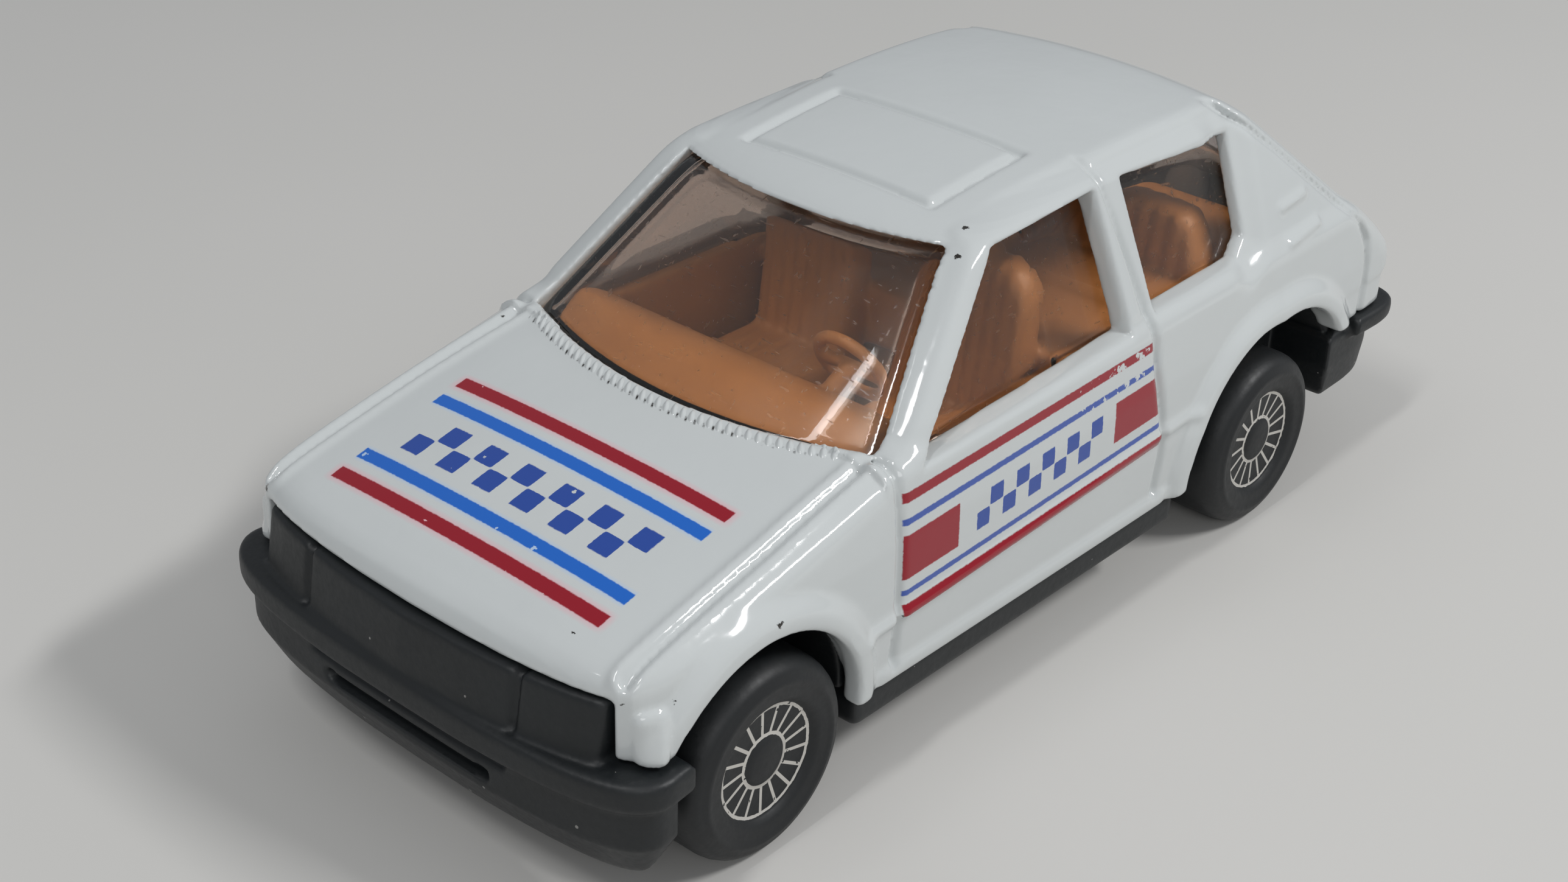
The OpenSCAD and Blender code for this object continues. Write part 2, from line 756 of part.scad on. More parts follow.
module left_wheel(y) {
    translate([wheel_back, y, axle_z]) rotate([0, 90, 0]) wheel();
}
module wheel_front_left() color([0.17, 0.18, 0.19]) left_wheel(front_axle_y);
module wheel_front_right() color([0.17, 0.18, 0.19]) mirror([1, 0, 0]) left_wheel(front_axle_y);
module wheel_rear_left() color([0.17, 0.18, 0.19]) left_wheel(rear_axle_y);
module wheel_rear_right() color([0.17, 0.18, 0.19]) mirror([1, 0, 0]) left_wheel(rear_axle_y);

body_shell();
base_plate();
window_unit();
interior_tray();
front_axle();
rear_axle();
wheel_front_left();
wheel_front_right();
wheel_rear_left();
wheel_rear_right();
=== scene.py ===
# %% [markdown]
# # A small die-cast police car
#
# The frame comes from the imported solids: a casting, a base, a clear moulding,
# a tray, two axles and four wheels, in metres, with the front along -Y.
# This file gives those pieces the skin of the real toy: thick enamel on zinc,
# dull moulded plastic, a scratched clear moulding and foil on the wheels.
# Lengths below are in millimetres, and MM turns them into metres.

# %% Load the frame
import math

import bpy
import numpy as np
import openvdb
from mathutils import Matrix, Vector


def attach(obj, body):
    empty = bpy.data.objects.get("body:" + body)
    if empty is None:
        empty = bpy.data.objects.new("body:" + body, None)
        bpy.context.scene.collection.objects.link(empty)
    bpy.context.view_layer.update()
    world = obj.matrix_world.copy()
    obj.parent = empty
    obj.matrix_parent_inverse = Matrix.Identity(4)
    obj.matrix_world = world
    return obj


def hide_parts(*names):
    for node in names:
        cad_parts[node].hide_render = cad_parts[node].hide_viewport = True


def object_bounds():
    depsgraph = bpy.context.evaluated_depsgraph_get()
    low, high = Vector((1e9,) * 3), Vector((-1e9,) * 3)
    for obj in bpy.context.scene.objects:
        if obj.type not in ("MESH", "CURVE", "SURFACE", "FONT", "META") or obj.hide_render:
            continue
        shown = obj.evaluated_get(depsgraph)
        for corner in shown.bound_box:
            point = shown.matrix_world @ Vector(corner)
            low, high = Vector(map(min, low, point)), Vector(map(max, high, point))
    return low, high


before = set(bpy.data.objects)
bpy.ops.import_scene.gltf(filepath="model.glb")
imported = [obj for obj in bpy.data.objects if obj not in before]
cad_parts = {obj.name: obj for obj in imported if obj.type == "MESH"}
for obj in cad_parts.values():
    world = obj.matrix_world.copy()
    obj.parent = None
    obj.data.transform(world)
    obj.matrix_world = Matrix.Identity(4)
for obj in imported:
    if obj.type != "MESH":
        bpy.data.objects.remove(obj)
cad_low, cad_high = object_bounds()
MM = 0.001
height = cad_high[2] / MM
print("frame, mm:", [round((b - a) / MM, 2) for a, b in zip(cad_low, cad_high)])

# %% [markdown]
# ## Soft shapes from distance fields
#
# Enamel runs off sharp edges and fills corners, so every edge of the real
# casting is rounded and every groove has a soft lip. Bevelling a mesh with
# hundreds of meeting edges often fails. A distance field is safer: each form
# is a function that is negative inside and positive outside, joining and
# cutting are a minimum and a maximum, and a smooth maximum rounds the edge
# by itself. The field is sampled on a lattice and turned into a mesh by the
# volume library that comes with Blender.

# %% Fields on a lattice
EDGE = 0.3  # the usual rounding of a cast or moulded edge
FAR = np.float32(1e9)  # further than anything in the scene


def lattice(low, high, pitch):
    """Coordinates along x, y and z, shaped so that numpy spreads them over the box."""
    axes = [np.arange(l, h + pitch, pitch, dtype=np.float32) for l, h in zip(low, high)]
    return axes[0][:, None, None], axes[1][None, :, None], axes[2][None, None, :]


def smooth_max(a, b, k):
    """The larger of two fields, with the edge between them rounded over about k."""
    h = np.maximum(k - np.abs(a - b), 0) / k
    return np.maximum(a, b) + h * h * (k / 4)


def smooth_min(a, b, k):
    """The smaller of two fields, with the corner between them filled."""
    return -smooth_max(-a, -b, k)


def all_of(k, *fields):
    """Where the fields overlap, with rounded edges."""
    total = fields[0]
    for field in fields[1:]:
        total = smooth_max(total, field, k)
    return total


def ramp(low, high, value):
    """0 below low, 1 above high and a soft step between."""
    t = np.clip((value - low) / (high - low), 0, 1)
    return t * t * (3 - 2 * t)


# %% Outlines and lines seen from one side
def from_line(u, v, points, closed=False):
    """Distance from a chain of straight lines in a plane."""
    shortest = 1e-9
    ends = points[1:] + points[:1] if closed else points[1:]
    best = FAR
    for (a, b), (c, d) in zip(points, ends):
        span = max((c - a) ** 2 + (d - b) ** 2, shortest)
        t = np.clip(((u - a) * (c - a) + (v - b) * (d - b)) / span, 0, 1)
        best = np.minimum(best, (u - a - t * (c - a)) ** 2 + (v - b - t * (d - b)) ** 2)
    return np.sqrt(best)


def outline(u, v, points):
    """Distance from a closed outline in a plane, negative inside it."""
    inside = np.zeros(np.broadcast(u, v).shape, bool)
    for (a, b), (c, d) in zip(points, points[1:] + points[:1]):
        if b != d:
            inside ^= ((b > v) != (d > v)) & (u < (c - a) * (v - b) / (d - b) + a)
    return from_line(u, v, points, closed=True) * np.where(inside, -1, 1)


def both_halves(points):
    """An outline given on the car's left, with its mirror image on the right."""
    return points + [(-x, y) for x, y in reversed(points)]


def soften(points, rounds=3):
    """Cuts the corners of an open chain again and again, which turns it into a smooth curve."""
    quarter = 0.25
    for _ in range(rounds):
        cut = [points[0]]
        for (a, b), (c, d) in zip(points, points[1:]):
            cut += [(a + share * (c - a), b + share * (d - b)) for share in (quarter, 1 - quarter)]
        points = cut + [points[-1]]
    return points


def drum(x, y, z, low, high, radius):
    """A wide cylinder that lies along a slope from one (y, z) point to another, bowed across the car."""
    run, rise = high[0] - low[0], high[1] - low[1]
    span = math.hypot(run, rise)
    depth = (y - low[0]) * (rise / span) - (z - low[1]) * (run / span)
    return np.sqrt(x * x + (depth - radius) ** 2) - radius


# %% From field to mesh
def new_object(name, points, faces):
    """A smooth mesh from points in millimetres, as an object in the scene."""
    mesh = bpy.data.meshes.new(name)
    mesh.from_pydata((np.asarray(points) * MM).tolist(), [], faces)
    mesh.shade_smooth()
    made = bpy.data.objects.new(name, mesh)
    bpy.context.scene.collection.objects.link(made)
    return made


def skin(name, field, low, pitch, body, *nodes):
    """The zero surface of a field as a smooth mesh that stands for its CAD nodes."""
    cells_kept = 3
    reach = pitch * cells_kept
    grid = openvdb.FloatGrid(reach)
    grid.copyFromArray(np.clip(field, -reach, reach).astype(np.float32))
    points, triangles, quads = grid.convertToPolygons(isovalue=0.0, adaptivity=0.0)
    piece = new_object(name, points * pitch + np.array(low), quads.tolist() + triangles.tolist())
    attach(piece, body)
    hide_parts(*nodes)
    print(name, len(piece.data.polygons), "faces")
    return piece


# %% [markdown]
# ## The casting
#
# The real shell is one zinc casting. Its form is the overlap of three views,
# as on a drawing board: from the side, along the car and from above. The
# windscreen, tailgate and hood are large drums, so that they bow across the
# car, and the roof is a very flat ring, bowed both ways.

# %% Main form of the casting
pitch = 0.16
casting_low, casting_high = (-15, -34, 3.2), (15, 34, 26.2)
x, y, z = lattice(casting_low, casting_high, pitch)
side_x = np.abs(x)

NOSE_END, TAIL_END = -33.4, 32.4
SIDE_VIEW = [(NOSE_END, 0), (TAIL_END, 0), (TAIL_END, 13.6), (31.9, 15.2), (29.2, 17.3)] + soften(
    [(-15.5, 17), (-24.5, 15.4), (-31.9, 13.3), (NOSE_END, 11.8)], 2)
SECTION = both_halves([(13.6, 0), (13.6, 5.2), (14.05, 9), (13.85, 13), (13.3, 16.2), (12.7, 17.2)])
PLAN = both_halves(soften([(0, -33.35), (6, -33.05), (12.1, -31.85), (13.5, -30), (14.1, -26.5), (14.2, 0),
    (13.9, 18), (13.5, 27.4), (13.4, 31.4), (12.6, 32.5), (5.8, 32.7), (0, 32.7)], 2))
CABIN = both_halves([(12.9, 11.5), (12.9, 16.62), (9.95, 24), (9.3, 24.7), (9.3, 28)])
SCREEN_LOW, SCREEN_HIGH, SCREEN_BOW = (-16.6, 16.8), (-7.5, 24.2), 42
TAIL_LOW, TAIL_HIGH, TAIL_BOW = (-31.3, 15.65), (-18.0, 25.75), 60
HOOD_LOW, HOOD_HIGH, HOOD_BOW, HOOD_CROWN = (-31.5, 13.4), (-15.5, 17), 86.4, 0.58
ROOF_PEAK, ROOF_LONG, ROOF_CROSS = 9.6, 110, 95
BELT_TOP, CABIN_FOOT = 17.6, 12
LOWER_ROUND, CABIN_ROUND, BELT_ROUND = 1.3, 1.1, 0.9


def main_form(x, y, z):
    """The closed outside of the casting: its lower half and its cabin."""
    screen = drum(x, y, z, SCREEN_LOW, SCREEN_HIGH, SCREEN_BOW)
    tail = drum(x, -y, z, TAIL_LOW, TAIL_HIGH, TAIL_BOW)
    run, rise = HOOD_HIGH[0] - HOOD_LOW[0], HOOD_HIGH[1] - HOOD_LOW[1]
    span = math.hypot(run, rise)
    above_hood = (z - HOOD_LOW[1]) * (run / span) - (y - HOOD_LOW[0]) * (rise / span)
    hood = np.sqrt(x * x + (above_hood - HOOD_CROWN + HOOD_BOW) ** 2) - HOOD_BOW
    hood = np.where(y < HOOD_HIGH[0], hood, z - BELT_TOP)
    ring = np.sqrt((y - ROOF_PEAK) ** 2 + (z - height + ROOF_LONG) ** 2) - ROOF_LONG + ROOF_CROSS
    roof = np.sqrt(ring * ring + x * x) - ROOF_CROSS
    plan = outline(x, y, PLAN)
    lower = all_of(LOWER_ROUND, outline(x, z, SECTION), plan, outline(y, z, SIDE_VIEW), tail, hood)
    cabin = all_of(CABIN_ROUND, outline(x, z, CABIN), screen, tail, roof, y - TAIL_END)
    return lower, np.maximum(cabin, CABIN_FOOT - z)


lower, cabin = main_form(x, y, z)
form = smooth_min(lower, cabin, BELT_ROUND)
print("casting lattice:", form.shape)

# %% [markdown]
# ### Relief on the casting
#
# Flares, ribs and frames are raised a few tenths of a millimetre, and the shut
# lines are grooves about as deep as the paint is thick. Each is a height over
# one view of the car, and the heights are taken off the field, which moves the
# surface out or in by that much. Pairs of numbers are the two ends of a ramp.

# %% Relief seen from the side
ARCHES = [(-24.16, 5.62, 6.5), (17.57, 5.62, 7.25), (19.75, 5.62, 7.25)]
DOOR_WINDOW = [(-12.95, 16.05), (4.4, 16.65), (3.95, 24.0), (-4.6, 23.6)]
QUARTER_WINDOW = [(6.8, 17.0), (15.3, 17.1), (16.6, 18.0), (17.0, 23.4), (6.4, 24.0)]
DOOR_LINE = [(-14.7, 6.1), (-14.7, 17.0), (-5.6, 24.55), (4.5, 24.9), (6.0, 17.9), (6.5, 14), (7.3, 10.9),
    (7.5, 9), (7.4, 6.3)]
TAIL_LINE = [(16.2, 25.4), (17.8, 24.0), (20.7, 21.8), (24.2, 18.8), (27.7, 15.9), (28.7, 14.3), (29.0, 12.6),
    (29.0, 9)]
STRIP = [(-17, 8.8), (10.4, 10.2)]
RIBS = [[(19.9, 18.8), (22.3, 19.0)], [(19.8, 17.0), (23.0, 17.3)]]
flare_height, flare_edge = 0.55, (0.7, 1.9)
seam_depth, seam_width = 0.36, 0.5
strip_height, strip_half, strip_fade = 0.22, 0.35, (0.3, 1.2)
rib_height, rib_half = 0.2, 0.26
sill_height, sill_edge, sill_fade = 0.22, (5.9, 6.4), (1.2, 2.2)
lip_height, lip_inner, lip_outer, lip_foot = 0.2, (-0.2, 0.2), (0.9, 1.3), (16.9, 17.8)
dish_depth, dish_reach, dish_start = 0.45, 1.7, (13.7, 16.1)
belt_z, side_skin, tail_skin = 16.6, (-1.5, -0.7), (-0.9, -0.3)


def from_arch(y, z):
    """Distance from the nearest wheel arch, seen from the side."""
    best = FAR
    for centre_y, centre_z, radius in ARCHES:
        best = np.minimum(best, np.sqrt((y - centre_y) ** 2 + (z - centre_z) ** 2) - radius)
    return best


def ridge(distance, rise, half):
    """The height of a line with a round top."""
    return rise * np.exp(-((distance / half) ** 2))


def groove(distance, depth, width=seam_width):
    """The height, below zero, of a line cut in."""
    return ridge(distance, -depth, width / 2)


arch = from_arch(y, z)
door_window = outline(y, z, DOOR_WINDOW)
quarter_window = outline(y, z, QUARTER_WINDOW)
frame_lip = ramp(*lip_inner, door_window) * (1 - ramp(*lip_outer, door_window))
side_relief = sum([
    flare_height * (1 - ramp(*flare_edge, arch)),
    *[groove(from_line(y, z, seam), seam_depth) for seam in (DOOR_LINE, TAIL_LINE)],
    ridge(from_line(y, z, STRIP), strip_height, strip_half) * ramp(*strip_fade, arch),
    *[ridge(from_line(y, z, rib), rib_height, rib_half) for rib in RIBS],
    sill_height * (1 - ramp(*sill_edge, z)) * ramp(*sill_fade, arch),
    lip_height * frame_lip * ramp(*lip_foot, z),
    -dish_depth * (1 - ramp(0, dish_reach, quarter_window)) * ramp(*dish_start, y),
])
flank = np.where(z > belt_z, outline(x, z, CABIN), outline(x, z, SECTION))
tail_face = drum(x, -y, z, TAIL_LOW, TAIL_HIGH, TAIL_BOW)
form = form - side_relief * ramp(*side_skin, flank) * (1 - ramp(*tail_skin, tail_face))

# %% Sunroof and hood edges, seen from above
SUNROOF = both_halves([(6.1, -4.3), (6.1, 2.9)])
HOOD_EDGE = [(11.5, -14.0), (11.9, -22), (12.1, -31)]
sunroof_depth, sunroof_zone = 0.34, (21, 23)
edge_rise, edge_offset, edge_half, edge_depth, edge_end = 0.16, 0.55, 0.3, 0.2, (-16, -14.5)
top_relief = groove(from_line(x, y, SUNROOF, closed=True), sunroof_depth) * ramp(*sunroof_zone, z)
from_edge = from_line(side_x, y, HOOD_EDGE)
double_ridge = ridge(from_edge - edge_offset, edge_rise, edge_half) + groove(from_edge, edge_depth)
top_relief = top_relief + double_ridge * (1 - ramp(*edge_end, y))
form = form - top_relief

# %% Wing lamps, and the tail's lamps and plate recess
lamp_x, lamp_y, lamp_z, turn_x, turn_y = 13.0, -30.5, 10.1, 0.77, -0.64
lamp_proud, lamp_half, lamp_rise, lamp_corner = 0.45, 0.3, 0.85, 0.55
lamp_inner_x, lamp_rear_y, lamp_round, lamp_join = 10, -26, 0.6, 0.1
sideward = (side_x - lamp_x) * -turn_y + (y - lamp_y) * turn_x
wide_off = np.maximum(np.abs(sideward) - lamp_half, 0)
high_off = np.maximum(np.abs(z - lamp_z) - lamp_rise, 0)
lamp_face = np.sqrt(wide_off ** 2 + high_off ** 2) - lamp_corner
wing_lamp = all_of(lamp_round, lamp_face, form - lamp_proud, lamp_inner_x - side_x, y - lamp_rear_y)
form = smooth_min(form, wing_lamp, lamp_join)
TAIL_LAMP = [(8.3, 10.9), (12.4, 10.9), (12.4, 14.2), (8.3, 14.2)]
TAIL_PLATE = [(-4.6, 10.8), (4.6, 10.8), (4.6, 12.9), (-4.6, 12.9)]
tail_lamp_depth, plate_depth, plate_edge, tail_zone = 0.2, 0.25, (-0.2, 0.2), (24, 26)
tail_relief = groove(from_line(side_x, z, TAIL_LAMP, closed=True), tail_lamp_depth)
tail_relief = tail_relief - plate_depth * (1 - ramp(*plate_edge, outline(x, z, TAIL_PLATE)))
form = form - tail_relief * ramp(*tail_zone, y)

# %% Hollow the casting and cut its openings
SCREEN_OPENING = both_halves([(11.9, 15.6), (11.4, 16.8), (8.6, 23.6)])
SCREEN_FRONT, SCREEN_CURVE = -17.0, 0.0195
REAR_OPENING = both_halves([(10.1, 18.3), (8.5, 23.5)])
NOSE_OPENING = both_halves([(11.9, 7.5), (11.9, 11.8)])
wall, opening_round, casting_foot = 1.2, 0.35, 5.2
arch_inner_x, window_inner_x, window_trim = 9, 6, 0.1
rear_opening_y, nose_opening_y = 13.5, -29.4
front_cut_y, front_cut_top, rear_cut_y, rear_cut_top = -24.2, 8.8, 19.8, 9.5
casting = np.maximum(form, -(form + wall))
screen_foot = SCREEN_FRONT + SCREEN_CURVE * x * x
screen_cut = all_of(EDGE, outline(x, z, SCREEN_OPENING), y, screen_foot - y)
cuts = [
    (arch, arch_inner_x - side_x),
    (door_window + window_trim, window_inner_x - side_x),
    (quarter_window + window_trim, window_inner_x - side_x),
    (screen_cut,),
    (outline(x, z, REAR_OPENING), rear_opening_y - y),
    (outline(x, z, NOSE_OPENING), y - nose_opening_y),
    (z - front_cut_top, y - front_cut_y),
    (z - rear_cut_top, rear_cut_y - y),
    (z - casting_foot,),
]
for cut in cuts:
    casting = smooth_max(casting, -all_of(EDGE, *cut), opening_round)

# %% [markdown]
# ### Rivet posts
#
# Two pins of the casting go through the base and are peened over, which holds
# the toy together. They show only from below.

# %% Rivet posts and peened heads
POSTS, post_radius, shank_radius, head_radius = (-19.43, 29.07), 1.4, 0.9, 1.4
floor_low, floor_high = 3.5, 4.9
shank_low, shank_high = floor_low + 0.1, floor_high + 0.3
head_low, head_high = floor_low + 0.05, floor_low + 0.65
pin_round, head_round = 0.2, 0.35
for post_y in POSTS:
    from_pin = np.sqrt(x * x + (y - post_y) ** 2)
    pin = all_of(pin_round, from_pin - post_radius, floor_high - z, form + wall / 2)
    shank = all_of(pin_round, from_pin - shank_radius, shank_low - z, z - shank_high)
    head = all_of(head_round, from_pin - head_radius, head_low - z, z - head_high)
    casting = np.minimum(casting, np.minimum(smooth_min(pin, shank, pin_round), head))
casting_piece = skin("casting", casting, casting_low, pitch, "car", "body_shell")

# %% [markdown]
# ### The ticked bead
#
# Along the foot of the windscreen runs a bead with slanted ticks, about two to
# the millimetre. The lattice is too coarse for them, so the bead is a fine strip
# of its own: its foot follows the hood and its height is a wave.

# %% Ticked bead
bead_half_length, bead_half, bead_columns, bead_fade, bead_gap = 11.2, 0.56, 15, 1.2, 0.5
bead_centre = SCREEN_FRONT - bead_gap
tick_pitch, tick_slant, tick_height = 0.53, 0.55, 0.2
bead_sink, bead_height, bead_fullness = 0.12, 0.16, 0.7
probe_low, probe_high, probe_step = 15, 18, 0.1
fine = 0.06
strip_x = np.arange(-bead_half_length, bead_half_length, fine)[:, None, None]
strip_v = np.linspace(-bead_half, bead_half, bead_columns)[None, :, None]
strip_y = bead_centre + SCREEN_CURVE * strip_x ** 2 + strip_v
heights = np.arange(probe_low, probe_high, probe_step)[None, None, :]
depths = main_form(strip_x, strip_y, heights)[0]
probes_inside = (depths < 0).sum(2, keepdims=True)
first_outside = np.take_along_axis(depths, np.clip(probes_inside, 0, heights.size - 1), 2)
hood_z = probe_low + probe_step * probes_inside - first_outside
tick = (1 + np.cos((strip_x + tick_slant * strip_v) * (2 * math.pi / tick_pitch))) / 2
round_over = np.cos(strip_v / bead_half * (math.pi / 2)) ** bead_fullness
ends = ramp(0, bead_fade, bead_half_length - np.abs(strip_x))
strip_z = hood_z - bead_sink + round_over * (bead_height + tick_height * tick) * ends
rows, columns = strip_x.shape[0], strip_v.shape[1]
strip = np.stack([np.broadcast_to(v, (rows, columns, 1))[..., 0] for v in (strip_x, strip_y, strip_z)], 2)
strip_faces = [(i * columns + j, (i + 1) * columns + j, (i + 1) * columns + j + 1, i * columns + j + 1)
    for i in range(rows - 1) for j in range(columns - 1)]
bead = new_object("bead", strip.reshape(-1, 3), strip_faces)
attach(bead, "car")
print("bead ticks:", round(2 * bead_half_length / tick_pitch))

# %% [markdown]
# ## The base
#
# One dull black moulding makes both bumpers, the lamp and grille panel, the
# sills and the floor. It is moulded in an open-and-shut tool, so its edges are
# soft too, and the same fields serve. Liners close the wheel wells.

# %% Bumpers
base_low, base_high = (-15, -35, 2), (15, 35, 12.4)
bx, by, bz = lattice(base_low, base_high, pitch)
base_side = np.abs(bx)
FRONT_BAR = both_halves(soften([(0, -34.2), (6, -34.15), (12.4, -33.4), (14.8, -31.7), (14.5, -29.2)]))
REAR_BAR = both_halves(soften([(13.8, 28.4), (13.9, 32.3), (12.7, 33.9), (7.2, 34.5), (0, 34.55)]))
REAR_VALANCE = both_halves(soften([(13.2, 26.2), (13.1, 31.0), (11.9, 32.7), (7.0, 33.4), (0, 33.5)]))
SLOT = [(-5.4, 5.6), (5.4, 5.6)]
LINE = [(-6.6, 6.6), (6.6, 6.6)]
bar_round, valance_round, valance_join = 0.5, 0.6, 0.4
valance_drop, valance_inset, tuck_height = 0.6, 0.55, 2.2
slot_depth, slot_edge, line_depth, line_half = 0.7, (0.2, 0.42), 0.35, 0.22


def bumper(plan, below, top, foot, bar_height, lean):
    """A proud bar over a set-back valance that tucks in towards its foot."""
    bar = all_of(bar_round, plan, bz - top, top - bar_height - bz)
    tuck = lean * np.maximum(foot + tuck_height - bz, 0)
    valance = all_of(valance_round, below + tuck, bz - top + valance_drop, foot - bz)
    return smooth_min(bar, valance, valance_join)


front_bar, rear_bar = outline(bx, by, FRONT_BAR), outline(bx, by, REAR_BAR)
rear_valance = outline(bx, by, REAR_VALANCE)
front_bumper = bumper(front_bar, front_bar + valance_inset, top=8.7, foot=2.7, bar_height=1.6, lean=0.5)
front_bumper = front_bumper + slot_depth * (1 - ramp(*slot_edge, from_line(bx, bz, SLOT)))
front_bumper = front_bumper + ridge(from_line(bx, bz, LINE), line_depth, line_half)
rear_bumper = bumper(rear_bar, rear_valance, top=9.45, foot=4.6, bar_height=1.25, lean=0.12)
base = np.minimum(front_bumper, rear_bumper)

# %% Lamp panel
LAMP_LINE = [(7.2, 8), (7.2, 13)]
panel_proud, panel_slope, panel_level, panel_depth = 0.5, 0.17, 9, 1.6
panel_half, panel_foot, panel_top, panel_rear = 11.6, 8, 11.7, -28.8
lamp_line_depth, lamp_line_half = 0.3, 0.2
nose = outline(bx, by, PLAN) - panel_proud + panel_slope * (bz - panel_level)
panel = all_of(EDGE, nose, -(nose + panel_depth), base_side - panel_half, bz - panel_top, panel_foot - bz,
    by - panel_rear)
panel = panel + ridge(from_line(base_side, bz, LAMP_LINE), lamp_line_depth, lamp_line_half)
base = smooth_min(base, panel, EDGE)

# %% Floor, sills, axle lugs and wheel liners
axle_ys, axle_z, axle_bore, tyre_radius, tyre_room = (-23.64, 18.36), 5.2, 0.85, 5.2, 0.4
past_middle = -1
pan_half, pan_front, pan_rear = 9.2, -32.4, 31.5
sill_half, sill_front, sill_rear, sill_top, sill_round = 13.4, -17.2, 9.9, 5.25, 0.4
lug_inner, lug_half, lug_top, lug_join = 6.1, 2, 8.2, 0.4
liner_gap, liner_half, liner_inner, liner_outer, liner_foot, liner_round = 0.55, 0.3, 8.6, 12.5, 5.4, 0.2
closing_x, closing_foot = 8.9, 6.2
recess_radius, recess_top, pin_hole, recess_edge, recess_round = 1.7, floor_low + 0.75, 0.95, 0.1, 0.15


def block(k, x_low, x_high, y_low, y_high, z_low, z_high):
    """A box on both sides of the car, with rounded edges."""
    return all_of(k, x_low - base_side, base_side - x_high, y_low - by, by - y_high, z_low - bz, bz - z_high)


base = np.minimum(base, block(EDGE, past_middle, pan_half, pan_front, pan_rear, floor_low, floor_high))
sills = block(sill_round, past_middle, sill_half, sill_front, sill_rear, floor_low, sill_top)
base = smooth_min(base, sills, EDGE)
for axle_y in axle_ys:
    lugs = block(EDGE, lug_inner, pan_half, axle_y - lug_half, axle_y + lug_half, floor_low, lug_top)
    base = smooth_min(base, lugs, lug_join)
well = from_arch(by, bz)
liner = all_of(liner_round, np.abs(well - liner_gap) - liner_half, liner_inner - base_side,
    base_side - liner_outer, liner_foot - bz)
closing = all_of(liner_round, well, np.abs(base_side - closing_x) - liner_half, closing_foot - bz)
base = np.minimum(base, np.minimum(liner, closing))
for axle_y in axle_ys:
    from_axle = np.sqrt((by - axle_y) ** 2 + (bz - axle_z) ** 2)
    base = np.maximum(base, axle_bore - from_axle)
    base = np.maximum(base, -np.maximum(from_axle - tyre_radius - tyre_room, pan_half - base_side))
for post_y in POSTS:
    from_pin = np.sqrt(bx * bx + (by - post_y) ** 2)
    base = smooth_max(base, -all_of(recess_edge, from_pin - recess_radius, bz - recess_top), recess_round)
    post_room = np.maximum(from_pin - recess_radius, floor_high - bz)
    base = np.maximum(base, -np.minimum(from_pin - pin_hole, post_room))
base_piece = skin("base", base, base_low, pitch, "car", "base_plate")

# %% [markdown]
# ## The clear moulding
#
# One tub of clear plastic sits behind all the windows, so the same cabin form,
# moved in by the casting's wall, gives its outer face. At the windscreen the
# moulding fills the opening nearly out to the paint, and a hollow behind that
# pane leaves it thin.

# %% Clear moulding
glass_gap, glass_thickness, glass_round, rim_z = 0.1, 0.9, 0.2, 15.5
glass_outer = cabin + wall + glass_gap
clear = all_of(glass_round, glass_outer, -(glass_outer + glass_thickness), rim_z - z)
pane_gap, pane_depth, pane_back, pane_foot = 0.12, 0.35, 1.2, 16.0
pane_face = cabin + pane_depth
pane = all_of(EDGE, screen_cut + pane_gap, pane_face, -(pane_face + pane_back), pane_foot - z)
clear = smooth_min(clear, pane, glass_round)
CORE = both_halves([(12.3, 12), (11.9, 15.6), (11.4, 16.8), (8.6, 23.6)])
pane_border, pane_thickness = 0.9, 0.7
behind_pane = all_of(EDGE, outline(x, z, CORE) + pane_border, y, pane_face + pane_thickness)
clear = smooth_max(clear, -behind_pane, glass_round)
clear_piece = skin("clear_moulding", clear, casting_low, pitch, "car", "window_unit")

# %% [markdown]
# ## The tray
#
# A single tan moulding: a tub, a dash pad that reaches the foot of the
# windscreen, two fluted front seats, a rear bench with a shelf behind it, and
# the steering wheel. Its forms are blocks with generous radii.

# %% Tub, dash pad and shelf
tray_low, tray_high = (-12.6, -17.6, 4.6), (12.6, 25.2, 21.6)
tray_pitch = pitch * 1.25
tx, ty, tz = lattice(tray_low, tray_high, tray_pitch)
tray_side = np.abs(tx)
TRAY_PLAN = both_halves([(6, -14.4), (11.5, -11.6), (11.5, 9.6)])
tray_wall, tray_round = 1, 0.4
dash_y, dash_z, dash_radius, dash_stretch, dash_half = -13.4, 13.9, 3.2, 1.3, 10.4
dash_foot_gap, dash_screen_gap, dash_round = 0.3, 1.25, 0.5
shelf_half, shelf_front, shelf_rear, shelf_thickness = 11.1, 15, 24.6, 1
tub_plan = outline(tx, ty, TRAY_PLAN)
tub = all_of(EDGE, tub_plan, floor_high - tz, tz - rim_z)
hollow = all_of(tray_round, tub_plan + tray_wall, floor_high + tray_wall - tz)
tray = smooth_max(tub, -hollow, EDGE)
dash_roll = np.sqrt(((ty - dash_y) / dash_stretch) ** 2 + (tz - dash_z) ** 2) - dash_radius
dash_foot = SCREEN_FRONT + dash_foot_gap + SCREEN_CURVE * tx * tx
under_screen = drum(tx, ty, tz, SCREEN_LOW, SCREEN_HIGH, SCREEN_BOW) + dash_screen_gap
dash_pad = all_of(dash_round, dash_roll, tray_side - dash_half, dash_foot - ty, under_screen)
tray = smooth_min(tray, dash_pad, tray_round)
shelf = all_of(EDGE, tray_side - shelf_half, shelf_front - ty, ty - shelf_rear,
    rim_z - shelf_thickness - tz, tz - rim_z)
tray = smooth_min(tray, shelf, tray_round)

# %% Front seats
seat_x, seat_half, seat_front, seat_top, seat_corner = 5.4, 3.5, -7.2, 20.0, 2.6
seat_cushion_top, cushion_round, back_round = 11.6, 0.8, 0.9
back_y, back_half, back_lean, lean_foot = 0.15, 1.05, 0.13, 10
seat_flute, back_flute_depth, cushion_flute_depth = 0.85, 0.14, 0.12


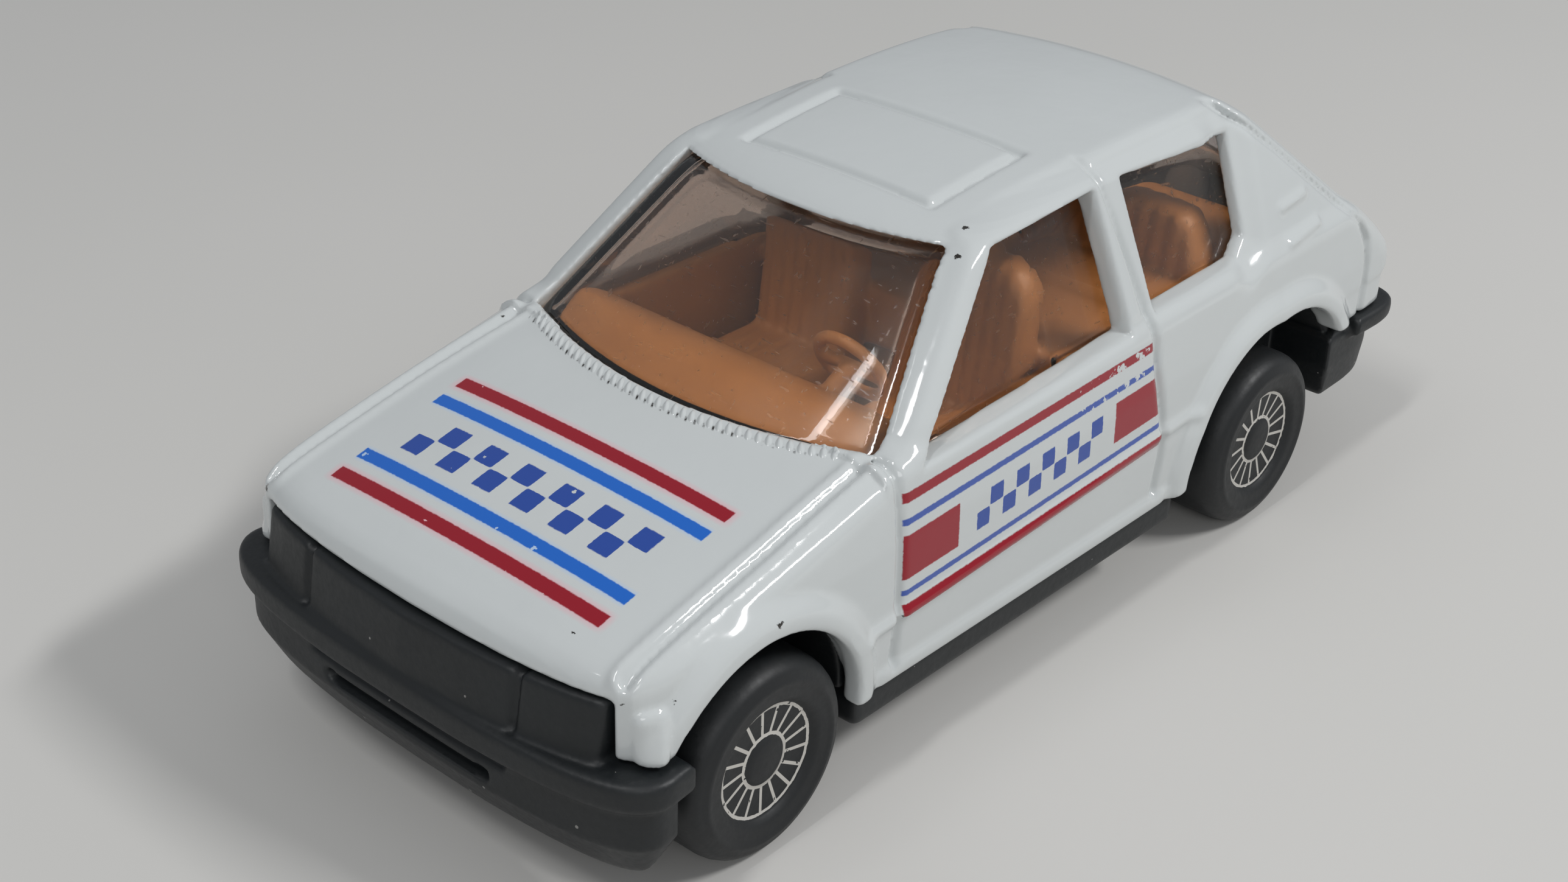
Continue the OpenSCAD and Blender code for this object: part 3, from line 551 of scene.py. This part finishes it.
def fluted(across, flute, depth):
    """The height of rounded flutes side by side."""
    return depth * np.abs(np.sin(across * (math.pi / flute)))


from_seat = np.abs(tray_side - seat_x)
flutes = fluted(tray_side - seat_x, seat_flute, back_flute_depth)
back_face = np.abs(ty - back_y - back_lean * (tz - lean_foot)) - back_half - flutes
corner_out = np.maximum(from_seat - seat_half + seat_corner, 0)
corner_up = np.maximum(tz - seat_top + seat_corner, 0)
back_top = np.sqrt(corner_out ** 2 + corner_up ** 2) - seat_corner
seat_back = all_of(back_round, back_face, from_seat - seat_half, back_top, floor_high - tz)
flutes = fluted(tray_side - seat_x, seat_flute, cushion_flute_depth)
cushion = all_of(cushion_round, from_seat - seat_half, seat_front - ty, ty, floor_high - tz,
    tz - seat_cushion_top - flutes)

# %% Rear bench
bench_y, bench_front, bench_half, bench_top, bench_low, bench_cushion_top = 15.0, 1.6, 8.8, 18.9, 11.5, 15.2
bench_wide, bench_taper, bench_back_half, bench_back_round = 10.3, 0.45, 1.2, 1.0
bench_lean, bench_lean_foot, bench_flute, bench_flute_depth = 0.1, 12, 1.1, 0.16
bench_back_foot, wing_foot, wing_round = 14.0, 13.8, 0.5
foot_front, foot_rear, foot_top = 3.6, 8.6, 12.5
bench_side = tray_side + bench_taper * np.maximum(tz - rim_z, 0) - bench_wide
from_back = np.abs(ty - bench_y - bench_lean * (tz - bench_lean_foot))
bench_face = from_back - bench_back_half - fluted(tx, bench_flute, bench_flute_depth)
bench_back = all_of(bench_back_round, bench_side, bench_face, tz - bench_top, bench_back_foot - tz)
bench = all_of(cushion_round, tray_side - bench_half, bench_front - ty, ty - bench_y, bench_low - tz,
    tz - bench_cushion_top)
bench_wing = all_of(wing_round, bench_side, bench_front - ty, ty - bench_y, wing_foot - tz,
    tz - bench_cushion_top)
bench_foot = all_of(cushion_round, tray_side - bench_half, foot_front - ty, ty - foot_rear, floor_high - tz,
    tz - foot_top)

# %% Steering wheel
wheel_x, wheel_y, wheel_z, wheel_radius, wheel_tilt = 5.4, -8.8, 16.9, 2.0, math.radians(62)
rim_half, bar_half, bar_thick, column_radius, column_length, seat_join = 0.34, 0.4, 0.3, 0.55, 5, 0.5
px, py, pz = tx - wheel_x, ty - wheel_y, tz - wheel_z
along_column = py * math.sin(wheel_tilt) + pz * math.cos(wheel_tilt)
from_column = np.sqrt(np.maximum(px * px + py * py + pz * pz - along_column ** 2, 0))
up_wheel = py * math.cos(wheel_tilt) - pz * math.sin(wheel_tilt)
rim = np.sqrt((from_column - wheel_radius) ** 2 + along_column ** 2) - rim_half
bar = all_of(EDGE, from_column - wheel_radius, np.abs(along_column) - bar_thick, np.abs(up_wheel) - bar_half)
column = all_of(EDGE, from_column - column_radius, along_column, -column_length - along_column)
tray = np.minimum(tray, np.minimum(rim, np.minimum(bar, column)))
for form_in_tray in (seat_back, cushion, bench_foot, bench, bench_wing, bench_back):
    tray = smooth_min(tray, form_in_tray, seat_join)
tray_piece = skin("tray", tray, tray_low, tray_pitch, "car", "interior_tray")

# %% [markdown]
# ## Wheels
#
# Each wheel is one moulding turned about the axle: a broad tread with a soft
# shoulder, a low ring on the sidewall and a dished face that carries foil.
# A turned form is a profile spun round, so the mesh is made ring by ring.

# %% Spin a profile into a wheel
face_x, turns = 14.0, 128
PROFILE = [(0.0, 0.42), (0.9, 0.40), (1.2, 0.52), (1.3, 0.6), (1.6, 0.6), (2.7, 0.52), (2.95, 0.5),
    (3.05, 0.42), (3.2, 0.24), (3.45, 0.14), (3.8, 0.12), (4.0, 0.06), (4.15, 0.0), (4.3, 0.03),
    (4.42, 0.12), (4.6, 0.16), (4.8, 0.28), (5.0, 0.52), (5.13, 0.85), (5.19, 1.2), (5.2, 1.6),
    (5.2, 3.2), (5.17, 3.7), (5.05, 4.1), (4.8, 4.35), (4.5, 4.4), (2.2, 4.4), (1.1, 4.4), (0.8, 4.3),
    (0.8, 1.6), (0.0, 1.6)]


def spun_wheel(name, axle_y, sign, body, node):
    """A profile of (radius, depth behind the face) spun about an axle, on the left for sign 1."""
    angles = np.linspace(0, 2 * math.pi, turns, endpoint=False)
    rings = []
    for radius, depth in PROFILE:
        across = np.full(turns, sign * (face_x - depth))
        along, up = axle_y + radius * np.cos(angles), axle_z + radius * np.sin(angles)
        rings.append(np.stack([across, along, up], 1))
    faces = []
    for i in range(len(PROFILE) - 1):
        for j in range(turns):
            k = (j + 1) % turns
            quad = (i * turns + j, (i + 1) * turns + j, (i + 1) * turns + k, i * turns + k)
            faces.append(quad if sign > 0 else quad[::-1])
    piece = new_object(name, np.concatenate(rings), faces)
    piece.data.validate()
    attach(piece, body)
    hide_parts(node)
    return piece


wheels = []
for place, axle_y in zip(("front", "rear"), axle_ys):
    for hand, sign in (("left", 1), ("right", -1)):
        node = f"wheel_{place}_{hand}"
        wheels.append(spun_wheel(f"{place}_{hand}_wheel", axle_y, sign, f"{place}_wheelset", node))
print("wheels:", [w.name for w in wheels])

# %% [markdown]
# ## Materials
#
# Each finish is a small node tree on Blender's Principled shader. One helper
# adds a node, sets it and links it, so a tree reads as a list of steps. Colours
# are written as sRGB hex, as in a paint chart, and turned to linear light.
# Patterns work in millimetres: object coordinates times a thousand.

# %% Helpers for materials
def linear(hex_colour):
    """An sRGB hex colour as linear RGBA."""
    parts = [int(hex_colour[i:i + 2], 16) / 255 for i in (1, 3, 5)]
    return [c / 12.92 if c <= 0.04045 else ((c + 0.055) / 1.055) ** 2.4 for c in parts] + [1.0]


def plug(tree, node, inputs):
    """Sets the inputs of a node, by name or place, to values or links."""
    for key, value in inputs.items():
        if isinstance(value, bpy.types.NodeSocket):
            tree.links.new(value, node.inputs[key])
        else:
            node.inputs[key].default_value = value


def add(tree, kind, inputs=None, out=0, **settings):
    """Adds a node with its settings and inputs, and gives one of its outputs."""
    node = tree.nodes.new("ShaderNode" + kind)
    for key, value in settings.items():
        setattr(node, key, value)
    plug(tree, node, inputs or {})
    return node.outputs[out]


def new_material(name, **sockets):
    """A Principled material with constant sockets, and its place in millimetres."""
    material = bpy.data.materials.new(name)
    material.use_nodes = True
    tree = material.node_tree
    shader = tree.nodes["Principled BSDF"]
    plug(tree, shader, {key.replace("_", " "): value for key, value in sockets.items()})
    metres = add(tree, "TexCoord", out="Object")
    spot = add(tree, "VectorMath", {0: metres, "Scale": 1 / MM}, operation="SCALE")
    return material, tree, shader, spot


def combine(tree, operation, *masks):
    """Masks or values put through one operation, two at a time."""
    total = masks[0]
    for mask in masks[1:]:
        total = add(tree, "Math", {0: total, 1: mask}, operation=operation)
    return total


COLOUR_MIX = {"out": 2, "data_type": "RGBA"}  # what makes a Mix node blend colours


# %% [markdown]
# ### Enamel on die-cast zinc
#
# Stoved white enamel is glossy and thick, with a faint orange-peel ripple, and
# it chips at edges down to a dark primer. The livery is pad-printed ink: red
# and blue bands on the hood and doors, a little duller than the enamel, with
# ragged edges, nicks and a few worn runs.

# %% Enamel and its inks
white, white_shade, primer = "#CBCFCF", "#C6CACA", "#2A2724"
ink_red, ink_blue, ink_door_blue, ink_chequer = "#92081F", "#1764C4", "#3A56A6", "#24489C"
pink_halo, blue_halo = "#E2A6B0", "#A8C4E6"
enamel, tree, shader, spot = new_material(
    "enamel_on_die_cast_zinc", IOR=1.5, Coat_Weight=0.2, Coat_Roughness=0.03)
axes = add(tree, "SeparateXYZ", {0: spot}).node.outputs
across = add(tree, "Math", {0: axes["X"]}, operation="ABSOLUTE")
ragged = add(tree, "TexNoise", {"Vector": spot, "Scale": 5.5, "Detail": 3.0})
ragged = combine(tree, "SUBTRACT", ragged, 0.5)
wear = add(tree, "TexNoise", {"Vector": spot, "Scale": 1.6, "Detail": 6.0, "Roughness": 0.62})
crisp, band_wobble, square_wobble, square_trim = 0.03, 0.09, 0.07, 0.06


def overlap(*masks):
    """Where all of the enamel's masks are 1."""
    return combine(tree, "MULTIPLY", *masks)


def either(*masks):
    """Where any of the enamel's masks is 1."""
    return combine(tree, "MAXIMUM", *masks)


def band_mask(value, centre, half, soft=crisp):
    """1 within half of centre, with a short soft edge, moved a little by the ragged noise."""
    shifted = add(tree, "Math", {0: ragged, 1: band_wobble, 2: value}, operation="MULTIPLY_ADD")
    shifted = combine(tree, "SUBTRACT", shifted, centre)
    off = add(tree, "Math", {0: shifted}, operation="ABSOLUTE")
    return add(tree, "MapRange", {"Value": off, "From Min": half + soft, "From Max": half - soft})


def chequer(u, v, u_low, u_high, v_low, square):
    """Two rows of squares between u_low and u_high, from v_low up."""
    waves = []
    for value, low in ((u, u_low), (v, v_low)):
        moved = add(tree, "Math", {0: ragged, 1: square_wobble, 2: value}, operation="MULTIPLY_ADD")
        moved = combine(tree, "SUBTRACT", moved, low)
        turn = combine(tree, "MULTIPLY", moved, math.pi / square)
        waves.append(add(tree, "Math", {0: turn}, operation="SINE"))
    sign = combine(tree, "MULTIPLY", waves[0], waves[1])
    filled = add(tree, "MapRange", {"Value": sign, "From Min": 0.0, "From Max": crisp})
    in_u = band_mask(u, (u_low + u_high) / 2, (u_high - u_low) / 2 - square_trim)
    return overlap(filled, in_u, band_mask(v, v_low + square, square - square_trim))


# %% Livery on the hood
hood_slope, hood_level, hood_rear, hood_half = 0.225, 20.19, -19.0, 9.2
red_lines, red_half, blue_lines, blue_half = (-21.65, -29.5), 0.38, (-23.15, -27.95), 0.36
red_bleed, red_bleed_end, red_blur, red_end_blur = 0.1, 0.12, 0.22, 0.3
blue_bleed, blue_blur = 0.06, 0.16
hood_line = add(tree, "Math", {0: axes["Y"], 1: hood_slope, 2: hood_level}, operation="MULTIPLY_ADD")
above_hood = combine(tree, "GREATER_THAN", axes["Z"], hood_line)
before_screen = combine(tree, "LESS_THAN", axes["Y"], hood_rear)
hood_zone = overlap(above_hood, before_screen)
hood_span = band_mask(across, 0.0, hood_half)
wide_span = band_mask(across, 0.0, hood_half + red_bleed_end, red_end_blur)


def hood_bands(span, lines, half, soft=crisp):
    """Bands across the hood at the given lines."""
    bands = [band_mask(axes["Y"], line, half, soft) for line in lines]
    return overlap(hood_zone, span, either(*bands))


hood_red = hood_bands(hood_span, red_lines, red_half)
hood_blue = hood_bands(hood_span, blue_lines, blue_half)
halo_red = hood_bands(wide_span, red_lines, red_half + red_bleed, red_blur)
halo_blue = hood_bands(hood_span, blue_lines, blue_half + blue_bleed, blue_blur)
hood_squares = chequer(axes["X"], axes["Y"], u_low=-7.8, u_high=7.8, v_low=-26.85, square=1.3)
hood_chequer = overlap(hood_zone, hood_squares)

# %% Livery on the doors
door_front, door_side_x = -14.6, 12.8
low_slope, low_start, high_slope, high_start, livery_rise = 0.0364, 9.1, 0.0273, 15.1, 6.0
seam_slope, seam_middle, seam_half, door_middle, door_half = 0.19, -10.9, 19.95, 3.0, 17.45
along = combine(tree, "ADD", axes["Y"], -door_front)
low_edge = add(tree, "Math", {0: along, 1: low_slope, 2: low_start}, operation="MULTIPLY_ADD")
high_edge = add(tree, "Math", {0: along, 1: high_slope, 2: high_start}, operation="MULTIPLY_ADD")
rise = add(tree, "MapRange", {"Value": axes["Z"], "From Min": low_edge, "From Max": high_edge,
    "To Max": livery_rise}, clamp=False)
outside = combine(tree, "GREATER_THAN", across, door_side_x)
door_seam = add(tree, "Math", {0: axes["Z"], 1: seam_slope, 2: axes["Y"]}, operation="MULTIPLY_ADD")
door_zone = overlap(outside, band_mask(axes["Y"], door_middle, door_half),
    band_mask(door_seam, seam_middle, seam_half))
lines_red = either(band_mask(rise, centre=0.0, half=0.31),
    band_mask(rise, centre=livery_rise, half=0.27))
blocks = either(band_mask(axes["Y"], centre=-12.4, half=2.05),
    band_mask(axes["Y"], centre=5.0, half=2.4))
blocks = overlap(blocks, band_mask(rise, centre=2.85, half=1.2))
door_red = overlap(door_zone, either(lines_red, blocks))
lines_blue = either(band_mask(rise, centre=0.92, half=0.15),
    band_mask(rise, centre=4.75, half=0.17))
door_blue = overlap(door_zone, lines_blue)
door_squares = chequer(axes["Y"], rise, u_low=-9.0, u_high=1.5, v_low=1.8, square=1.05)
door_chequer = overlap(door_zone, door_squares)

# %% Nicks and worn runs
nick_wobble = 0.35
cells = add(tree, "TexVoronoi", {"Vector": spot, "Scale": 0.9}).node.outputs
chance = add(tree, "SeparateColor", {0: cells["Color"]}).node.outputs[0]
nick_size = add(tree, "MapRange", {"Value": chance, "From Min": 0.5, "To Max": 0.15})
from_nick = add(tree, "Math", {0: ragged, 1: nick_wobble, 2: cells["Distance"]}, operation="MULTIPLY_ADD")
sound = combine(tree, "GREATER_THAN", from_nick, nick_size)
run_zone = overlap(band_mask(axes["Y"], centre=2.2, half=3.4, soft=0.8),
    band_mask(rise, centre=5.3, half=0.95, soft=0.15))
wear_limit = add(tree, "MapRange", {"Value": run_zone, "To Min": 0.74, "To Max": 0.54})
unworn = combine(tree, "LESS_THAN", wear, wear_limit)
kept = overlap(sound, unworn)

# %% Chips down to the primer
CHIPS = [(8.7, -4.8, 24.3, 0.17), (9.5, -6.4, 23.5, 0.15), (4.9, -20.7, 16.1, 0.12), (8.5, -30.7, 13.4, 0.12),
    (13.0, -28.1, 14.1, 0.27), (13.6, -29.6, 11.6, 0.15), (12.3, -31.4, 11.9, 0.12), (14.2, -23.6, 13.0, 0.2),
    (14.0, -13.1, 5.4, 0.17), (-11.8, -16.5, 16.5, 0.24), (-11.8, -21.2, 15.4, 0.17),
    (-12.2, -31.7, 12.4, 0.3), (13.9, -14.6, 8.8, 0.18), (10.6, -7.3, 21.9, 0.14)]
chip_wobble, chip_core = 0.5, 0.7
spots_of_primer = []
for cx, cy, cz, size in CHIPS:
    gap = add(tree, "VectorMath", {0: spot, 1: (cx, cy, cz)}, out="Value", operation="DISTANCE")
    gap = add(tree, "Math", {0: ragged, 1: chip_wobble, 2: gap}, operation="MULTIPLY_ADD")
    core = size * chip_core
    spots_of_primer.append(add(tree, "MapRange", {"Value": gap, "From Min": size, "From Max": core}))
chips = either(*spots_of_primer)

# %% Dark patches in some hollows between the bead's ticks
pit_foot = 15.8
across_squared = combine(tree, "MULTIPLY", axes["X"], axes["X"])
bow = add(tree, "Math", {0: across_squared, 1: SCREEN_CURVE, 2: bead_centre}, operation="MULTIPLY_ADD")
bead_v = combine(tree, "SUBTRACT", axes["Y"], bow)
slanted = add(tree, "Math", {0: bead_v, 1: tick_slant, 2: axes["X"]}, operation="MULTIPLY_ADD")
tick_turn = combine(tree, "MULTIPLY", slanted, 2 * math.pi / tick_pitch)
tick_wave = add(tree, "Math", {0: tick_turn}, operation="COSINE")
# Some hollows between the bead's ticks, on its front side, are coloured with the dark primer colour, in
# patches picked by the wear noise.
between = add(tree, "MapRange", {"Value": tick_wave, "From Min": -0.55, "From Max": -0.9})
chosen_pits = add(tree, "MapRange", {"Value": wear, "From Min": 0.44, "From Max": 0.56})
on_hood = combine(tree, "GREATER_THAN", axes["Z"], pit_foot)
pits = overlap(between, band_mask(bead_v, centre=-0.36, half=0.13, soft=0.06),
    band_mask(across, centre=0.0, half=10.6), chosen_pits, on_hood)

# %% Colour, gloss and ripple of the enamel
halo_strength = 0.8
tone = add(tree, "TexNoise", {"Vector": spot, "Scale": 0.15, "Detail": 2.0})
colour = add(tree, "Mix", {"Factor": tone, 6: linear(white_shade), 7: linear(white)}, **COLOUR_MIX)
halos = [combine(tree, "MULTIPLY", halo, halo_strength) for halo in (halo_red, halo_blue)]
chequers = overlap(either(hood_chequer, door_chequer), kept)
inks = [overlap(mask, kept) for mask in (hood_red, hood_blue, door_red, door_blue)]
shades = list(zip(halos, (pink_halo, blue_halo)))
shades += list(zip(inks, (ink_red, ink_blue, ink_red, ink_door_blue)))
# The primer colour fills the chips, and it also darkens the picked hollows between the bead's ticks.
shades += [(chequers, ink_chequer), (chips, primer), (pits, primer)]
for mask, shade in shades:
    colour = add(tree, "Mix", {"Factor": mask, 6: colour, 7: linear(shade)}, **COLOUR_MIX)
printed = either(chequers, chips, *inks)
gloss = add(tree, "MapRange", {"Value": printed, "To Min": 0.08, "To Max": 0.15})
peel = add(tree, "TexNoise", {"Vector": spot, "Scale": 0.55, "Detail": 2.0})
ripple = add(tree, "Bump", {"Strength": 0.12, "Distance": 0.2 * MM, "Height": peel})
plug(tree, shader, {"Base Color": colour, "Roughness": gloss, "Normal": ripple})
for piece in (casting_piece, bead):
    piece.data.materials.append(enamel)

# %% [markdown]
# ### Moulded plastics
#
# The base is black ABS from a tool with a fine spark-eroded grain: dull, with a
# soft sheen and a few specks of dust. The tray is tan polystyrene, smoother and
# a little waxy. Both have slow changes of tone from the flow of the plastic.

# %% Black ABS and tan polystyrene
dust_grey = "#B8B6B2"


def moulded_plastic(name, dark, light, roughness, grain_mm, grain_depth, dustiness):
    """A moulded plastic between two tones, with a grain of a given size and specks of dust."""
    material, tree, shader, spot = new_material(name, IOR=1.53)
    flow = add(tree, "TexNoise", {"Vector": spot, "Scale": 0.25, "Detail": 4.0})
    colour = add(tree, "Mix", {"Factor": flow, 6: linear(dark), 7: linear(light)}, **COLOUR_MIX)
    cells = add(tree, "TexVoronoi", {"Vector": spot, "Scale": 1.1}).node.outputs
    chance = add(tree, "SeparateColor", {0: cells["Color"]}).node.outputs[0]
    speck_size = add(tree, "MapRange", {"Value": chance, "From Min": 0.55, "To Max": 0.1})
    dust = combine(tree, "LESS_THAN", cells["Distance"], speck_size)
    dust = combine(tree, "MULTIPLY", dust, dustiness)
    colour = add(tree, "Mix", {"Factor": dust, 6: colour, 7: linear(dust_grey)}, **COLOUR_MIX)
    grain = add(tree, "TexNoise", {"Vector": spot, "Scale": 1 / grain_mm, "Detail": 3.0})
    rough = add(tree, "MapRange", {"Value": grain, "To Min": roughness - 0.08, "To Max": roughness + 0.1})
    bump = add(tree, "Bump", {"Strength": 0.3, "Distance": grain_depth * MM, "Height": grain})
    plug(tree, shader, {"Base Color": colour, "Roughness": rough, "Normal": bump})
    return material


black_abs = moulded_plastic("black_moulded_abs", "#0B0F11", "#14191C", roughness=0.48,
    grain_mm=0.35, grain_depth=0.05, dustiness=0.45)
tan_styrene = moulded_plastic("tan_moulded_polystyrene", "#B5844E", "#C69760", roughness=0.42,
    grain_mm=0.6, grain_depth=0.04, dustiness=0.0)
base_piece.data.materials.append(black_abs)
tray_piece.data.materials.append(tan_styrene)

# %% [markdown]
# ### Clear polystyrene
#
# Clear and glossy, with a slight warm tint and many fine scratches from play.
# A glass shader on a closed solid would keep the lamps out of the cabin, so
# lamp rays go straight through it and only take up the tint.

# %% Clear polystyrene
clear_styrene, tree, shader, spot = new_material("clear_moulded_polystyrene", IOR=1.5,
    Transmission_Weight=1.0, Base_Color=linear("#E2D5CC"), Coat_Weight=0.35, Coat_Roughness=0.14)
strokes = []
for stretch in ((0.5, 3.0, 2.2), (2.6, 0.6, 2.0)):
    drawn = add(tree, "VectorMath", {0: spot, 1: stretch}, operation="MULTIPLY")
    drawn = add(tree, "TexNoise", {"Vector": drawn, "Scale": 1.3, "Detail": 2.0})
    strokes.append(add(tree, "MapRange", {"Value": drawn, "From Min": 0.67, "From Max": 0.72}))
scratches = combine(tree, "MAXIMUM", *strokes)
rough = add(tree, "MapRange", {"Value": scratches, "To Min": 0.02, "To Max": 0.3})
plug(tree, shader, {"Roughness": rough})
lamp_ray = add(tree, "LightPath", out="Is Shadow Ray")
see_through = add(tree, "BsdfTransparent", {"Color": linear("#D6CAC0")})
glass = add(tree, "MixShader", {0: lamp_ray, 1: shader.outputs[0], 2: see_through})
plug(tree, tree.nodes["Material Output"], {"Surface": glass})
clear_piece.data.materials.append(clear_styrene)

# %% [markdown]
# ### Wheels and axles
#
# The wheels are black polyethylene, dull and slightly waxy. Hot foil is pressed
# on the raised rings and spokes of the face, so it is a metal film whose edge
# follows a pattern of radius and angle about the axle. The axles are steel
# wire, with fine lines along it from drawing.

# %% Foiled wheels
spokes, spoke_half, rim_out, rim_in, hub_out, hub_in = 17, 0.085, 2.96, 2.8, 1.47, 1.29
foil_wobble, foil_inner_x, foil_wear, foil_metal = 0.1, 13.2, 0.66, 0.7
whole_turns = 50.0


def foiled_wheel(name, axle_y):
    """Black polyethylene with foil on the rim, hub and spokes of the wheels of one axle."""
    material, tree, shader, spot = new_material(name, IOR=1.5)
    centred = add(tree, "VectorMath", {0: spot, 1: (0, axle_y, axle_z)}, operation="SUBTRACT")
    part = add(tree, "SeparateXYZ", {0: centred}).node.outputs
    flat = add(tree, "CombineXYZ", {"Y": part["Y"], "Z": part["Z"]})
    radius = add(tree, "VectorMath", {0: flat}, out="Value", operation="LENGTH")
    nick = add(tree, "TexNoise", {"Vector": spot, "Scale": 3.2, "Detail": 4.0})
    wobble = combine(tree, "SUBTRACT", nick, 0.5)
    radius = add(tree, "Math", {0: wobble, 1: foil_wobble, 2: radius}, operation="MULTIPLY_ADD")
    angle = combine(tree, "ARCTAN2", part["Z"], part["Y"])
    turn = combine(tree, "MULTIPLY", angle, spokes / (2 * math.pi))
    turn = combine(tree, "ADD", turn, whole_turns)
    within = add(tree, "Math", {0: turn}, operation="FRACT")
    off = combine(tree, "SUBTRACT", within, 0.5)
    off = add(tree, "Math", {0: off}, operation="ABSOLUTE")
    off = combine(tree, "MULTIPLY", off, radius)
    spoke = combine(tree, "LESS_THAN", off, spoke_half * spokes / (2 * math.pi))
    in_rim, in_hub = (combine(tree, "LESS_THAN", radius, limit) for limit in (rim_out, hub_out))
    past_rim, past_hub = (combine(tree, "GREATER_THAN", radius, limit) for limit in (rim_in, hub_in))
    rim = combine(tree, "MULTIPLY", in_rim, past_rim)
    hub = combine(tree, "MULTIPLY", in_hub, past_hub)
    spoke = combine(tree, "MULTIPLY", spoke, in_rim, past_hub)
    across = add(tree, "Math", {0: part["X"]}, operation="ABSOLUTE")
    outer = combine(tree, "GREATER_THAN", across, foil_inner_x)
    kept = combine(tree, "LESS_THAN", nick, foil_wear)
    foil = combine(tree, "MULTIPLY", combine(tree, "MAXIMUM", rim, hub, spoke), outer, kept)
    tone = add(tree, "TexNoise", {"Vector": spot, "Scale": 0.6, "Detail": 3.0})
    black = add(tree, "Mix", {"Factor": tone, 6: linear("#121416"), 7: linear("#1A1D1F")}, **COLOUR_MIX)
    colour = add(tree, "Mix", {"Factor": foil, 6: black, 7: linear("#DAD7D1")}, **COLOUR_MIX)
    metal = combine(tree, "MULTIPLY", foil, foil_metal)
    rough = add(tree, "MapRange", {"Value": nick, "To Min": 0.4, "To Max": 0.62})
    bump = add(tree, "Bump", {"Strength": 0.25, "Distance": 0.05 * MM, "Height": nick})
    plug(tree, shader, {"Base Color": colour, "Metallic": metal, "Roughness": rough, "Normal": bump})
    return material


for place, axle_y in zip(("front", "rear"), axle_ys):
    foiled = foiled_wheel(f"foiled_polyethylene_{place}", axle_y)
    for wheel in wheels:
        if wheel.name.startswith(place):
            wheel.data.materials.append(foiled)

# %% Drawn steel wire
steel, tree, shader, spot = new_material("drawn_steel_wire", Metallic=1.0)
streak = add(tree, "VectorMath", {0: spot, 1: (0.2, 6.0, 6.0)}, operation="MULTIPLY")
drawn = add(tree, "TexNoise", {"Vector": streak, "Scale": 1.0, "Detail": 4.0})
colour = add(tree, "Mix", {"Factor": drawn, 6: linear("#8E8C88"), 7: linear("#B9B6B0")}, **COLOUR_MIX)
rough = add(tree, "MapRange", {"Value": drawn, "To Min": 0.25, "To Max": 0.5})
plug(tree, shader, {"Base Color": colour, "Roughness": rough})
for node in ("front_axle", "rear_axle"):
    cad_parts[node].data.materials.clear()
    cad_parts[node].data.materials.append(steel)

# %% [markdown]
# ## Stage, light and camera
#
# A pale sheet of card in an evenly lit room. Two lamps, one to the rear and
# one over the nose, draw the bright lines along the edges, a narrow strip adds
# a streak on the windscreen, and a broad weak lamp lifts the shadows. The
# camera stands where the photograph was taken from: its place, direction and
# lens were fitted to the wheels, the hood and the windows.

# %% Floor
card, tree, shader, spot = new_material("pale_card", Roughness=0.85)
mottle = add(tree, "TexNoise", {"Vector": spot, "Scale": 0.02, "Detail": 3.0})
colour = add(tree, "Mix", {"Factor": mottle, 6: linear("#CCCBC7"), 7: linear("#D1CFCC")}, **COLOUR_MIX)
plug(tree, shader, {"Base Color": colour})
reach = 1500
corners = [(-reach, -reach, 0), (reach, -reach, 0), (reach, reach, 0), (-reach, reach, 0)]
floor = new_object("floor", corners, [(0, 1, 2, 3)])
floor.data.materials.append(card)

# %% Light
room_colour, room_strength = "#E9EDF2", 0.345
world = bpy.data.worlds.new("room")
bpy.context.scene.world = world
world.use_nodes = True
background = world.node_tree.nodes["Background"]
plug(world.node_tree, background, {"Color": linear(room_colour), "Strength": room_strength})


def soft_lamp(name, place, aim, wide, high, watts):
    """A rectangular lamp at a place that faces another."""
    light = bpy.data.lights.new(name, "AREA")
    light.shape, light.size, light.size_y, light.energy = "RECTANGLE", wide * MM, high * MM, watts
    lamp = bpy.data.objects.new(name, light)
    lamp.location = Vector(place) * MM
    lamp.rotation_euler = (Vector(aim) - Vector(place)).to_track_quat("-Z", "Y").to_euler()
    bpy.context.scene.collection.objects.link(lamp)


soft_lamp("rear_tube", place=(230, 150, 290), aim=(0, 0, 10), wide=130, high=28, watts=0.72)
soft_lamp("front_tube", place=(20, -205, 355), aim=(0, 0, 10), wide=26, high=110, watts=0.3)
soft_lamp("streak", place=(-85, -215, 335), aim=(0, 0, 10), wide=9, high=120, watts=0.03)
soft_lamp("fill", place=(250, -235, 205), aim=(0, 0, 14), wide=200, high=120, watts=0.22)

# %% Camera
camera_place, camera_sensor, camera_lens = (68.02, -85.1, 68.35), 36, 51.71
azimuth, elevation, roll = (math.radians(v) for v in (41.296, 29.449, -1.746))
level_reach = math.cos(elevation)
backward = Vector((math.sin(azimuth) * level_reach, -math.cos(azimuth) * level_reach, math.sin(elevation)))
level = (-backward).cross(Vector((0, 0, 1))).normalized()
upright = level.cross(-backward)
side_axis = math.cos(roll) * level - math.sin(roll) * upright
up_axis = math.sin(roll) * level + math.cos(roll) * upright
turned = Matrix((side_axis, up_axis, backward)).transposed().to_4x4()
camera = bpy.data.objects.new("camera", bpy.data.cameras.new("camera"))
bpy.context.scene.collection.objects.link(camera)
camera.matrix_world = Matrix.Translation(Vector(camera_place) * MM) @ turned
camera.data.sensor_width, camera.data.lens = camera_sensor, camera_lens
camera.data.clip_start = MM
bpy.context.scene.camera = camera
bpy.context.scene.view_settings.view_transform = "Standard"
